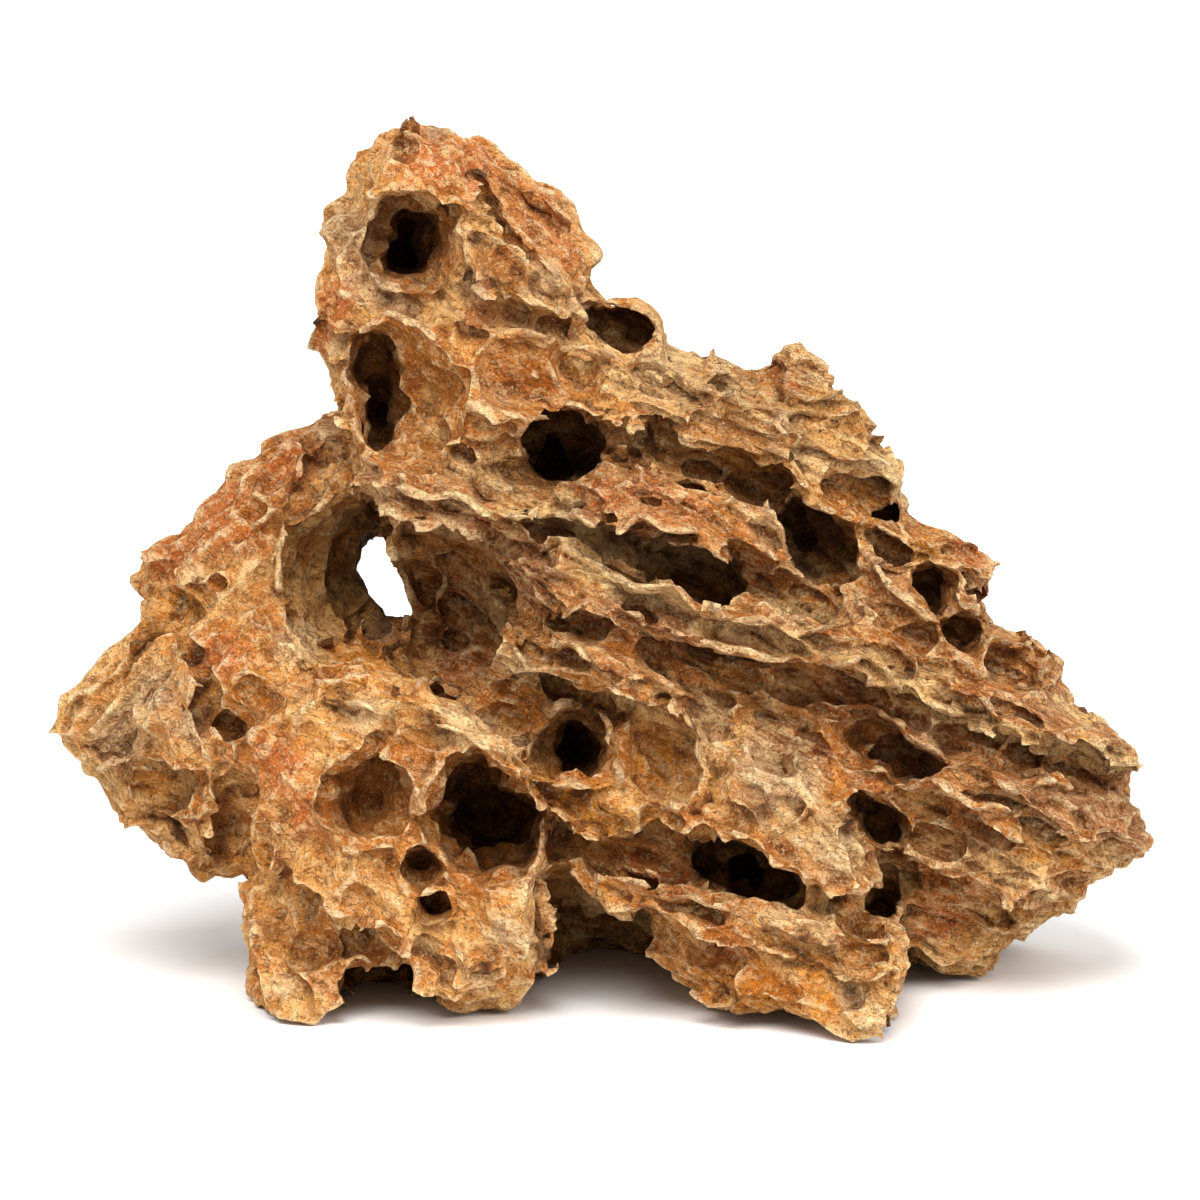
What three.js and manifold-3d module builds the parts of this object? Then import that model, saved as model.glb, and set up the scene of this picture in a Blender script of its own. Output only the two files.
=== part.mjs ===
// Dragon stone: one weathered clay-stone block, about 240 mm wide, 187 mm high and 133 mm deep.
//
// The stone leans: its broad face is tipped back by FACE_TILT_DEG. Everything is laid out in that face's
// own frame, in millimetres: `across` runs to the right, `up` runs up the face, and `out` stands away from
// it. The finished solid is stood up, cut flat where it rests, and centred over the origin.

import * as THREE from "three";
import { ConvexGeometry } from "three/addons/geometries/ConvexGeometry.js";
import { mergeVertices } from "three/addons/utils/BufferGeometryUtils.js";
import Module from "manifold-3d";

const FACE_TILT_DEG = 10;
const WELD_MM = 1e-3;
const CLEAN_MM = 0.05; // slivers thinner than this are folded away
const SEA_OF_ROOM_MM = 600; // larger than the stone in every direction
const HOLLOW_DETAIL = 2; // subdivisions of the ball that cuts a hollow
const SMALL_HOLLOW_MM = 8; // a hollow with a half width under this is cut with a coarser ball
const PIERCE_MM = 80; // how far the tunnel reaches from the mid plane to either side

const wasm = await Module();
wasm.setup();

/** A closed three.js geometry as a manifold-3d solid. */
function solidOf(geometry) {
  const bare = geometry.clone();
  bare.deleteAttribute("normal");
  bare.deleteAttribute("uv");
  const merged = mergeVertices(bare, WELD_MM);
  const order = merged.index
    ? merged.index.array
    : Uint32Array.from({ length: merged.attributes.position.count }, (_, i) => i);
  return new wasm.Manifold(
    new wasm.Mesh({
      numProp: 3,
      vertProperties: new Float32Array(merged.attributes.position.array),
      triVerts: new Uint32Array(order),
    }),
  );
}

/** A manifold-3d solid as a three.js geometry. */
function geometryOf(solid) {
  const mesh = solid.getMesh();
  const geometry = new THREE.BufferGeometry();
  geometry.setAttribute("position", new THREE.BufferAttribute(mesh.vertProperties, 3));
  geometry.setIndex(new THREE.BufferAttribute(mesh.triVerts, 1));
  return geometry;
}

// ---------------------------------------------------------------------------------------------------------
// Lumps: the blocky masses that the stone is made of
// ---------------------------------------------------------------------------------------------------------

// Each lump is the convex hull of rings made from one outline: its widest ring (`waist`), a smaller ring
// behind, a smaller ring in front, and a small crown that keeps the front from being flat. `depth` is
// [back, waist, front] along out, `shrink` is [back, front] as shares of the waist ring, `lean` moves the
// front ring across and up, and `tip` is the slope of the front: how far it comes out per millimetre to the
// right and per millimetre up.
const LUMPS = {
  // the central mass that carries all the rest
  heart: {
    waist: [[-52, 100], [-10, 128], [40, 116], [70, 92], [90, 60], [84, 32], [60, 15], [12, 20],
      [-12, 20], [-40, 24], [-58, 60]],
    depth: [-52, -10, 24],
    shrink: [0.82, 0.8],
    tip: [0, -0.1],
  },
  back_hump: {
    waist: [[-58, 104], [-22, 146], [24, 122], [58, 84], [56, 26], [22, 5], [-14, 4], [-40, 12],
      [-66, 50]],
    depth: [-52, -34, -24],
    shrink: [0.7, 0.9],
  },
  tunnel_wall: {
    waist: [[-76, 98], [-60, 112], [-42, 113], [-28, 104], [-22, 84], [-30, 64], [-56, 60], [-76, 68]],
    depth: [-42, -8, 16],
    shrink: [0.8, 0.86],
    tip: [0, -0.1],
  },

  // the peak
  peak: {
    waist: [[-60, 167], [-56, 173], [-54, 182], [-46, 188], [-38, 189], [-30, 186], [-22, 180],
      [-14, 168], [-8, 150], [-4, 134], [-12, 110], [-50, 106], [-58, 130], [-61, 150]],
    depth: [-32, -6, 20],
    shrink: [0.72, 0.78],
    lean: [1, -5],
    tip: [0, -0.12],
  },
  peak_crown: {
    waist: [[-52, 177], [-49, 184], [-42, 189], [-32, 188], [-25, 183], [-22, 176], [-32, 172],
      [-44, 171]],
    depth: [-12, 4, 24],
    shrink: [0.8, 0.78],
    lean: [0, -4],
    tip: [0, -0.5],
  },
  peak_back: {
    waist: [[-36, 185], [-27, 187], [-17, 179.5], [-9, 175], [-5, 168], [0, 161], [-1, 152], [7, 148],
      [0, 134], [-36, 150]],
    depth: [-36, -16, 4],
    shrink: [0.7, 0.82],
    tip: [-0.3, -0.1],
  },
  peak_rib: {
    waist: [[-61.5, 166], [-57, 172.5], [-51, 170], [-49, 152], [-52, 138], [-57, 134], [-63.5, 141],
      [-63, 146], [-61, 157]],
    depth: [-16, 0, 18],
    shrink: [0.8, 0.7],
    lean: [2, 0],
    tip: [0.4, 0],
  },
  peak_column: {
    waist: [[-35, 168], [-29, 174], [-22, 171], [-12, 158], [-1, 150], [0, 144], [-12, 143], [-34, 149]],
    depth: [-6, 10, 29],
    shrink: [0.9, 0.68],
    lean: [-2, 1],
    tip: [-0.2, -0.2],
  },
  peak_waist: {
    waist: [[-59, 133], [-50, 148], [-34, 152], [-8, 146], [4, 136], [4, 124], [-14, 116], [-30, 112],
      [-46, 111], [-57, 120]],
    depth: [-30, 6, 30],
    shrink: [0.9, 0.8],
    tip: [-0.1, -0.2],
  },

  // the left shoulder, its boss and the pointed wedge below it
  shoulder: {
    waist: [[-58, 128], [-66, 123], [-74, 119], [-82, 113], [-91, 102.5], [-100, 97], [-102.5, 88],
      [-96, 82], [-80, 76], [-64, 84], [-52, 100], [-52, 122]],
    depth: [-42, -12, 12],
    shrink: [0.74, 0.74],
    lean: [5, -6],
    tip: [0.1, -0.3],
  },
  wedge: {
    waist: [[-120, 57], [-118, 64], [-110, 71], [-101, 79], [-100, 86], [-84, 84], [-74, 60], [-78, 44],
      [-94, 38], [-108, 42], [-114, 50]],
    depth: [-30, -4, 18],
    shrink: [0.7, 0.56],
    lean: [9, -2],
    tip: [0.4, 0],
  },
  wedge_low: {
    waist: [[-113, 49], [-104, 56], [-80, 58], [-66, 40], [-70, 24], [-87, 24], [-96, 30], [-107, 38]],
    depth: [-34, -6, 18],
    shrink: [0.72, 0.6],
    lean: [5, 2],
    tip: [0.4, 0.1],
  },
  cheek: {
    waist: [[-91, 79], [-80, 88], [-71, 85], [-64, 76], [-68, 62], [-80, 58], [-89, 67]],
    depth: [-10, 12, 31],
    shrink: [1, 0.7],
    lean: [2, -2],
    tip: [0.2, -0.2],
  },
  tunnel_rim: {
    waist: [[-74, 82], [-64, 79], [-57, 71], [-42, 65], [-20, 61], [-15, 52], [-40, 46], [-60, 46],
      [-76, 60]],
    depth: [-10, 16, 41],
    shrink: [1, 0.78],
    tip: [0.1, -0.25],
  },

  // the block in front at the lower left, on two legs
  front_block: {
    waist: [[-80, 58], [-74, 66], [-55, 66], [-30, 60], [-12, 52], [-8, 30], [-13, 14], [-50, 12],
      [-61, 14], [-70, 20], [-79, 38]],
    depth: [-34, 10, 43],
    shrink: [0.82, 0.86],
    tip: [0.1, -0.05],
  },
  left_leg: {
    waist: [[-79, 28], [-64, 34], [-48, 26], [-46, 4], [-54, 0], [-60, -5], [-64, -9], [-71, -7],
      [-78, -1], [-77, 10]],
    depth: [-14, 18, 34],
    shrink: [0.86, 0.7],
    lean: [1, -3],
    tip: [0.15, -0.3],
  },
  middle_leg: {
    waist: [[-58, 22], [-34, 34], [-12, 30], [-10, 17], [-14, 6], [-18, -3], [-26, -7], [-33, -4],
      [-44, 9], [-54, 14]],
    depth: [-4, 24, 46],
    shrink: [0.84, 0.78],
    lean: [0, 2],
    tip: [0.1, 0.12],
  },
  back_foot: {
    waist: [[-70, 24], [-14, 24], [-11, 3], [-44, -1], [-58, -2], [-72, 10]],
    depth: [-40, -14, 8],
    shrink: [0.8, 0.86],
  },

  // the nose and the long foot in front at the right
  nose: {
    waist: [[18, 60], [30, 62], [43, 57], [51, 47], [60, 34], [61.5, 23], [55, 19], [46, 21], [36, 30],
      [28, 33.5], [16, 33], [6, 38], [4, 50]],
    depth: [0, 28, 50],
    shrink: [1, 0.72],
    lean: [2, -3],
    tip: [0.1, -0.2],
  },
  nose_root: {
    waist: [[-18, 66], [2, 72], [24, 64], [20, 40], [10, 30], [-8, 30], [-18, 44]],
    depth: [0, 18, 34],
    shrink: [1, 0.8],
    tip: [0.1, -0.15],
  },
  ledge: {
    waist: [[-10, 28], [2, 30], [24, 23], [40, 15], [52, 12], [64, 17], [68.5, 12], [63, 5], [46, 3],
      [28, 11], [10, 18], [-6, 22]],
    depth: [0, 26, 48],
    shrink: [1, 0.8],
    tip: [0.12, -0.3],
  },
  long_foot: {
    waist: [[10, 20], [30, 16], [52, 9], [66, 14], [68.5, 8], [65, -2], [62.5, -12], [54, -12],
      [46, -6.5], [27, -4.5], [15, 3], [8, 12]],
    depth: [-8, 26, 50],
    shrink: [0.86, 0.72],
    lean: [4, -3],
    tip: [0.35, -0.25],
  },

  // the ridge and the steps down to the right-hand tip
  crest: {
    waist: [[-4, 140], [8, 151], [14, 144], [25, 139.5], [38, 131], [52, 126], [65.5, 114], [67, 104],
      [58, 96], [20, 108], [-8, 122]],
    depth: [-40, -12, 16],
    shrink: [0.72, 0.8],
    lean: [-1, -4],
    tip: [-0.1, -0.35],
  },
  crest_tooth: {
    waist: [[24, 138], [31, 135], [37, 138], [44, 141.5], [51, 133], [58, 126], [62, 112], [40, 108],
      [24, 122]],
    depth: [-22, -4, 14],
    shrink: [0.7, 0.74],
    lean: [-1, -4],
    tip: [0, -0.4],
  },
  upper_step: {
    waist: [[38, 112], [64, 108], [71, 101.5], [79, 99], [87, 92.5], [84, 80], [70, 70], [40, 80]],
    depth: [-42, -10, 18],
    shrink: [0.78, 0.78],
    lean: [-2, -3],
    tip: [-0.15, -0.3],
  },
  middle_step: {
    waist: [[60, 88], [84, 80], [92, 78.5], [100, 72], [102, 64], [110, 60], [112, 54], [95, 44],
      [56, 58]],
    depth: [-44, -10, 18],
    shrink: [0.8, 0.78],
    lean: [-3, -2],
    tip: [-0.2, -0.25],
  },
  right_tip: {
    waist: [[70, 64], [100, 63], [110, 60], [116, 53], [117.5, 47], [115, 43], [120, 34], [119, 30],
      [107, 24], [98, 17], [70, 18], [56, 38]],
    depth: [-40, -4, 18],
    shrink: [0.74, 0.78],
    lean: [-4, 0],
    tip: [-0.25, -0.1],
  },
  back_right_leg: {
    waist: [[58, 30], [90, 30], [104, 21], [102, 17], [94, 11], [85, 2], [72, 2], [62, 8]],
    depth: [-52, -22, 4],
    shrink: [0.78, 0.8],
    tip: [-0.2, 0.2],
  },

  // the beds that show on the far side; their fronts face backwards
  back_bed_1: {
    waist: [[-50, 128], [-28, 142], [0, 132], [40, 112], [60, 98], [52, 90], [20, 102], [-20, 116]],
    depth: [-10, -34, -48],
    shrink: [1, 0.74],
    tip: [0.05, 0.35],
  },
  back_bed_2: {
    waist: [[-64, 104], [-30, 114], [0, 104], [50, 82], [76, 62], [64, 54], [30, 70], [-10, 84],
      [-50, 88]],
    depth: [-10, -40, -56],
    shrink: [1, 0.76],
    tip: [-0.05, 0.3],
  },
  back_bed_3: {
    waist: [[-70, 78], [-40, 86], [0, 76], [40, 54], [62, 34], [50, 26], [10, 42], [-30, 54], [-66, 60]],
    depth: [-10, -42, -59],
    shrink: [1, 0.76],
    tip: [0.05, 0.25],
  },
  back_bed_4: {
    waist: [[-68, 50], [-40, 56], [-10, 44], [20, 26], [26, 12], [4, 6], [-36, 12], [-60, 28]],
    depth: [-10, -40, -58],
    shrink: [1, 0.78],
    tip: [0.1, 0.1],
  },
  back_block: {
    waist: [[18, 40], [44, 38], [62, 22], [56, 8], [30, 7], [16, 16]],
    depth: [-10, -38, -54],
    shrink: [1, 0.76],
    tip: [0.1, 0.2],
  },
  back_boss: {
    waist: [[-94, 76], [-82, 92], [-64, 94], [-56, 72], [-68, 58], [-88, 60]],
    depth: [-4, -30, -44],
    shrink: [1, 0.7],
    tip: [-0.2, 0.2],
  },
  back_flank: {
    waist: [[60, 78], [84, 73], [101, 56], [98, 36], [74, 34], [58, 50]],
    depth: [-8, -38, -52],
    shrink: [1, 0.72],
    tip: [0.2, 0.25],
  },

  // the beds of stone that run down to the right, one overlapping the next
  bed_1: {
    waist: [[-36, 140], [-20, 146], [-2, 143], [20, 134], [44, 126], [54, 116], [46, 112], [20, 117],
      [-4, 126], [-30, 130]],
    depth: [0, 12, 26],
    shrink: [1, 0.72],
    tip: [-0.1, -0.4],
  },
  bed_2: {
    waist: [[-54, 119], [-57, 109], [-50, 101], [-34, 97], [-18, 98], [-6, 102], [-10, 107], [-22, 113],
      [-38, 117]],
    depth: [6, 22, 38],
    shrink: [1, 0.7],
    tip: [0, -0.35],
  },
  bed_3: {
    waist: [[-12, 110], [-3, 117], [8, 118.5], [18, 113], [38, 105], [47, 91], [42, 88], [24, 95],
      [2, 101], [-12, 103]],
    depth: [4, 22, 38],
    shrink: [1, 0.72],
    tip: [-0.1, -0.4],
  },
  bed_4: {
    waist: [[-28, 95], [-18, 101], [2, 96], [30, 84], [58, 78], [71, 64], [60, 63], [38, 70], [10, 77],
      [-20, 83]],
    depth: [4, 24, 40],
    shrink: [1, 0.74],
    tip: [-0.12, -0.4],
  },
  bed_5: {
    waist: [[-22, 82], [-8, 80], [10, 73], [25, 65], [22, 60], [6, 64], [-12, 68], [-24, 68]],
    depth: [6, 28, 44],
    shrink: [1, 0.72],
    tip: [-0.1, -0.3],
  },
  bed_6: {
    waist: [[52, 76], [70, 74], [92, 66], [110, 58], [118, 48], [110, 46], [92, 55], [66, 60]],
    depth: [-8, 10, 26],
    shrink: [1, 0.76],
    tip: [-0.2, -0.4],
  },
  bed_7: {
    waist: [[56, 58], [78, 53], [103, 46], [107, 38], [118, 32], [108, 26], [94, 32], [72, 42], [56, 48]],
    depth: [-8, 12, 29],
    shrink: [1, 0.74],
    tip: [-0.2, -0.4],
  },
  bed_8: {
    waist: [[62, 40], [84, 38], [101, 30], [99, 20], [84, 21], [64, 30]],
    depth: [-14, 8, 24],
    shrink: [1, 0.76],
    tip: [-0.2, -0.3],
  },
};

const CROWN_SHARE = 0.36; // size of the crown ring as a share of the front ring
const CROWN_RISE_MM = 2.5; // how far the crown stands out from the front ring
const KNOCK_MM = 1.6; // how far each corner of a lump may be knocked out of place

let seed = 20731;

/** The next number of a repeatable run of random numbers between -1 and 1. */
function nextRandom() {
  seed = (Math.imul(seed, 1664525) + 1013904223) >>> 0;
  return (seed / 2 ** 31) - 1;
}

/** One ring of a lump: the outline shrunk about its middle, moved, and set on a sloping plane. */
function ringOf(waist, share, shift, out, tip, knock) {
  const middle = [0, 1].map((axis) => waist.reduce((sum, point) => sum + point[axis], 0) / waist.length);
  return waist.map(([across, up]) => {
    const dx = (across - middle[0]) * share;
    const dy = (up - middle[1]) * share;
    const spot = [middle[0] + dx + shift[0], middle[1] + dy + shift[1], out + dx * tip[0] + dy * tip[1]];
    return new THREE.Vector3(...spot.map((value) => value + knock * nextRandom()));
  });
}

/** The solid of one lump. */
function lumpSolid({ waist, depth, shrink, lean = [0, 0], tip = [0, 0] }) {
  const [back, middle, front] = depth;
  const level = [0, 0];
  const crown = front + CROWN_RISE_MM * Math.sign(front - back);
  const points = [
    ...ringOf(waist, shrink[0], level, back, level, KNOCK_MM),
    ...ringOf(waist, 1, level, middle, level, 0),
    ...ringOf(waist, shrink[1], lean, front, tip, KNOCK_MM),
    ...ringOf(waist.filter((_, i) => i % 2 === 0), shrink[1] * CROWN_SHARE, lean, crown, tip, KNOCK_MM),
  ];
  return solidOf(new ConvexGeometry(points));
}

// ---------------------------------------------------------------------------------------------------------
// Hollows: the holes, bowls and troughs that weathering has left
// ---------------------------------------------------------------------------------------------------------

// Each row is [across, up, half length, half width, turn in degrees, depth, lift]. The hollow is a ball
// stretched to that mouth and depth, and its middle stands out from the surface by the lift.
const FRONT_HOLLOWS = {
  peak_socket: [-41, 163, 9.5, 10.5, 0, 22, 3],
  eye_bowl: [-43, 130, 15.5, 12.5, 70, 17, 4],
  eye_hole: [-48, 126, 8, 4.5, 95, 40, 2],
  twin_dish: [-18, 133, 10, 7, -30, 10, 2],
  twin_dish_small: [-5, 135, 6, 4.5, -20, 8, 0],
  dark_pit: [-9, 119, 9.5, 6.5, -35, 26, 3],
  top_notch: [5, 143, 9, 4.5, -42, 12, 0],
  long_trough: [34, 110, 11, 3.6, -22, 12, 0],
  ear_dish: [57, 108, 9.5, 5, -38, 9, 2],
  right_cave: [46, 98, 11.5, 6.5, -48, 26, 3],
  middle_cave: [21, 91, 11, 6.5, -32, 18, 3],
  middle_pocket: [47, 86, 5, 4.5, 0, 10, 0],
  step_hole: [71, 86, 6.5, 4, 100, 16, 0],
  step_pit: [78, 78, 5, 3.4, -30, 14, 0],
  step_bowl: [90, 70, 8, 5.5, -25, 11, 2],
  long_gutter: [52, 65, 16, 4.6, -24, 9, 2],
  shelf_gutter: [62, 54, 13, 4, -18, 14, 0],
  tip_gutter: [105, 48, 9, 3, -28, 10, 0],
  den: [-6, 54, 8.5, 8, 0, 28, 4],
  den_dish: [-5, 65, 7, 4, -30, 8, 0],
  big_dish: [13, 52, 11.5, 8.5, 100, 11, 3],
  left_hole: [-51, 42.5, 9, 8.5, 0, 24, 4],
  large_hole: [-25, 37, 14.5, 12.5, 120, 34, 6],
  small_hole: [-39, 28, 4.2, 3.8, 0, 14, 0],
  wedge_bowl: [-97, 44, 9, 5.5, -10, 9, 2],
  long_cave: [32, 27, 16, 5.4, -24, 28, 4],
  foot_gap: [56, 16, 6, 4.4, -30, 24, 2],
  side_gap: [60, 37, 6.5, 3.6, -40, 22, 2],
  under_arch: [1, 9, 13, 10, 0, 40, 4],
  leg_arch: [-48, 3, 8, 6, 10, 34, 0],
};

// The same on the far side, which is seen only from behind. `across` and `up` are still the face's own.
const BACK_HOLLOWS = {
  back_socket: [-30, 158, 10, 7, 60, 16, 0],
  back_bowl: [14, 112, 13, 9, 25, 16, 0],
  back_den: [58, 70, 11, 8, 30, 20, 0],
  back_pit: [20, 70, 7, 6, 0, 18, 0],
  back_dish: [-30, 60, 12, 9, -20, 12, 0],
  back_hole: [-88, 58, 7, 6, 0, 14, 0],
  back_slot: [30, 34, 13, 5, 15, 16, 0],
  back_eye: [-82, 98, 8, 6, 30, 12, 0],
};

const ray = new THREE.Raycaster();

/** How far out the surface lies at a place on the face; `side` is 1 for the front and -1 for the back. */
function surfaceAt(mesh, across, up, side) {
  ray.set(new THREE.Vector3(across, up, side * SEA_OF_ROOM_MM), new THREE.Vector3(0, 0, -side));
  const hit = ray.intersectObject(mesh)[0];
  if (!hit) throw new Error(`no surface at ${across}, ${up}`);
  return hit.point.z;
}

/** The cutter of one hollow. */
function hollowSolid(mesh, row, side) {
  const [across, up, halfLength, halfWidth, turnDeg, depth, lift] = row;
  const detail = Math.min(halfLength, halfWidth) < SMALL_HOLLOW_MM ? HOLLOW_DETAIL - 1 : HOLLOW_DETAIL;
  const ball = new THREE.IcosahedronGeometry(1, detail);
  ball.applyMatrix4(new THREE.Matrix4().makeScale(halfLength, halfWidth, depth));
  ball.applyMatrix4(new THREE.Matrix4().makeRotationZ(THREE.MathUtils.degToRad(turnDeg)));
  ball.translate(across, up, surfaceAt(mesh, across, up, side) + side * lift);
  return solidOf(ball);
}

// The tunnel goes right through. Its stations run from the front to the back:
// [across, up, out, half width, half height].
const TUNNEL_STATIONS = [
  [-56, 90, PIERCE_MM, 13, 18],
  [-56, 90, 12, 13, 18],
  [-52, 90, -4, 10, 14],
  [-47, 90, -24, 6.5, 9.5],
  [-46, 90, -PIERCE_MM, 10, 12],
];
const TUNNEL_SIDES = 14;
const TUNNEL_MOUTH = [-34, 84, 15, 20, 8, 26, 0]; // the bowl beside the tunnel that it opens into

/** The cutter of the tunnel: a run of hulls between neighbouring rings. */
function tunnelSolid() {
  const rings = TUNNEL_STATIONS.map(([across, up, out, halfWidth, halfHeight]) =>
    Array.from({ length: TUNNEL_SIDES }, (_, side) => {
      const angle = (side / TUNNEL_SIDES) * 2 * Math.PI;
      const spot = [across + halfWidth * Math.cos(angle), up + halfHeight * Math.sin(angle), out];
      return new THREE.Vector3(...spot);
    }),
  );
  const spans = rings.slice(1).map((ring, i) => solidOf(new ConvexGeometry([...rings[i], ...ring])));
  return spans.reduce((whole, span) => whole.add(span));
}

// ---------------------------------------------------------------------------------------------------------
// The stone
// ---------------------------------------------------------------------------------------------------------

const body = Object.values(LUMPS)
  .map(lumpSolid)
  .reduce((whole, lump) => whole.add(lump));
const uncut = new THREE.Mesh(geometryOf(body), new THREE.MeshBasicMaterial({ side: THREE.DoubleSide }));

const cutters = [
  ...Object.values(FRONT_HOLLOWS).map((row) => hollowSolid(uncut, row, 1)),
  ...Object.values(BACK_HOLLOWS).map((row) => hollowSolid(uncut, row, -1)),
  hollowSolid(uncut, TUNNEL_MOUTH, 1),
  tunnelSolid(),
];
const carved = cutters.reduce((whole, cutter) => whole.subtract(cutter), body);

const upright = geometryOf(carved).applyMatrix4(
  new THREE.Matrix4().makeRotationX(THREE.MathUtils.degToRad(90 - FACE_TILT_DEG)),
);
const ground = new THREE.BoxGeometry(SEA_OF_ROOM_MM, SEA_OF_ROOM_MM, SEA_OF_ROOM_MM);
ground.translate(0, 0, -SEA_OF_ROOM_MM / 2);
const standing = solidOf(upright).subtract(solidOf(ground));
const whole = standing.decompose().reduce((a, b) => (a.volume() > b.volume() ? a : b));

const stoneGeometry = geometryOf(whole.simplify(CLEAN_MM));
stoneGeometry.computeBoundingBox();
const centre = stoneGeometry.boundingBox.getCenter(new THREE.Vector3());
stoneGeometry.translate(-centre.x, -centre.y, 0);

const stone = new THREE.Mesh(
  stoneGeometry,
  new THREE.MeshStandardMaterial({ color: "#a8753f", roughness: 0.9, metalness: 0 }),
);
stone.name = "dragon_stone";

const dragonStone = new THREE.Group();
dragonStone.add(stone);

export default dragonStone;
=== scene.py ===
"""Dragon stone: clay stone that weathering has cut into slanting beds, bowls and a tunnel.

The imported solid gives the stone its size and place. The visible stone starts as a copy of it. Ribs
and slabs are laid on it, hollows and clefts are cut into it, its surface is worn into beds and
flakes, and it is marked, thinned and dressed.

Lengths are in millimetres in the stone's own face frame until the finished mesh is put in its
place: across runs to the right along the broad face, up runs up it, and out stands away from it.
"""

import logging
import math
from dataclasses import dataclass, field
from enum import Enum

import bmesh
import bpy
import numpy as np
from mathutils import Euler, Matrix, Vector, noise
from mathutils.bvhtree import BVHTree


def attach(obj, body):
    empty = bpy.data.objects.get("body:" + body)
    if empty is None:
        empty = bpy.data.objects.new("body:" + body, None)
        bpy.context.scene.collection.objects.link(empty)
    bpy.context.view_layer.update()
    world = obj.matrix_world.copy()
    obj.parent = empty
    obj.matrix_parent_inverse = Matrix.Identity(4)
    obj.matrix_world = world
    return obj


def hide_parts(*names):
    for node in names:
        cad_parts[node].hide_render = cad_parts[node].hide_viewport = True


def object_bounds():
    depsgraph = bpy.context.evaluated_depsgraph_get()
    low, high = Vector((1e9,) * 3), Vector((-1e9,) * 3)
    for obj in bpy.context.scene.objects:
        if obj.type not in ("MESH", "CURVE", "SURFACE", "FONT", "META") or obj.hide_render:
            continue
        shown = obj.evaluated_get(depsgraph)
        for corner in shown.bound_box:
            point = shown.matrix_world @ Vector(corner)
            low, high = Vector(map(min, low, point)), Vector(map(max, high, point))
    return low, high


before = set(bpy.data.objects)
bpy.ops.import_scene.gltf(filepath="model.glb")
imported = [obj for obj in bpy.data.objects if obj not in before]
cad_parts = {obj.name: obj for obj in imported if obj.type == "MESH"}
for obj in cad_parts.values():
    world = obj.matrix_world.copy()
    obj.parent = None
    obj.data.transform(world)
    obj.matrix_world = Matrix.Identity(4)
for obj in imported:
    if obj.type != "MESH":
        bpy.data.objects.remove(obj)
CAD_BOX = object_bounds()

LOG = logging.getLogger("dragon_stone")

NODE = "dragon_stone"

MM = 0.001
FACE_TILT_DEG = 10.0  # the broad face leans back by this much
FACE_SHIFT_MM = -8.01  # the face frame's origin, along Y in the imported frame

AIM = (-0.3, 85.1)  # the spot on the broad face that the camera looks at
VIEW_MM = 3000.0  # and how far away it is
VIEWER = Vector((*AIM, VIEW_MM))  # the camera, in the face frame

BUILT_VOXEL_MM = 0.85  # spacing of the grid that joins ribs and slabs to the stone
CUTTER_VOXEL_MM = 0.8
FINE_VOXEL_MM = 0.78
TRIANGLE_BUDGET = 197_000
SHARP_FROM_DEG = 26.0  # an edge that turns by more than this is shaded as a corner

Spot = tuple[float, float]  # a place on the face: across, up


# ---- Frames and small mesh jobs ----


@dataclass(frozen=True)
class FaceFrame:
    """The frame of the broad face, in millimetres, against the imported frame, in metres."""

    tilt: float = math.radians(FACE_TILT_DEG)
    shift: float = FACE_SHIFT_MM

    def to_face(self) -> Matrix:
        """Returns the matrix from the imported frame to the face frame."""
        turn = Matrix.Rotation(self.tilt - math.pi / 2, 4, "X")
        return turn @ Matrix.Translation((0, -self.shift, 0)) @ Matrix.Scale(1 / MM, 4)

    def to_packed(self) -> Matrix:
        """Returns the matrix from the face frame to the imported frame."""
        return self.to_face().inverted()


def new_object(name: str, data: bpy.types.ID) -> bpy.types.Object:
    """Links a mesh, a light or a camera into the scene.

    Args:
        name: The object's name.
        data: What the object holds.

    Returns:
        The new object, at the origin.
    """
    made = bpy.data.objects.new(name, data)
    bpy.context.scene.collection.objects.link(made)
    return made


def object_of(bm: bmesh.types.BMesh, name: str) -> bpy.types.Object:
    """Turns a bmesh into an object and frees the bmesh.

    Args:
        bm: The bmesh.
        name: The object's name.

    Returns:
        The new object.
    """
    mesh = bpy.data.meshes.new(name)
    bm.to_mesh(mesh)
    bm.free()
    return new_object(name, mesh)


def settle(made: bpy.types.Object) -> None:
    """Works an object's modifiers into its mesh.

    Args:
        made: The object, whose mesh is replaced.
    """
    graph = bpy.context.evaluated_depsgraph_get()
    old = made.data
    made.data = bpy.data.meshes.new_from_object(made.evaluated_get(graph))
    made.modifiers.clear()
    bpy.data.meshes.remove(old)


def remesh(made: bpy.types.Object, voxel: float) -> None:
    """Rebuilds an object's mesh on an even grid, which joins what overlaps.

    Args:
        made: The object.
        voxel: The grid's spacing.
    """
    modifier = made.modifiers.new("remesh", "REMESH")
    modifier.mode = "VOXEL"
    modifier.voxel_size = voxel
    settle(made)


def keep_largest(made: bpy.types.Object) -> None:
    """Removes every loose crumb, so that only the largest piece of the mesh is left.

    Args:
        made: The object, whose mesh is changed.
    """
    bm = bmesh.new()
    bm.from_mesh(made.data)
    bm.verts.ensure_lookup_table()
    seen = np.zeros(len(bm.verts), dtype=bool)
    pieces = []
    for first in bm.verts:
        if seen[first.index]:
            continue
        seen[first.index] = True
        piece = [first]
        for vert in piece:
            for edge in vert.link_edges:
                other = edge.other_vert(vert)
                if not seen[other.index]:
                    seen[other.index] = True
                    piece.append(other)
        pieces.append(piece)
    pieces.sort(key=len)
    crumbs = [vert for piece in pieces[:-1] for vert in piece]
    bmesh.ops.delete(bm, geom=crumbs, context="VERTS")
    bm.to_mesh(made.data)
    bm.free()


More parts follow.
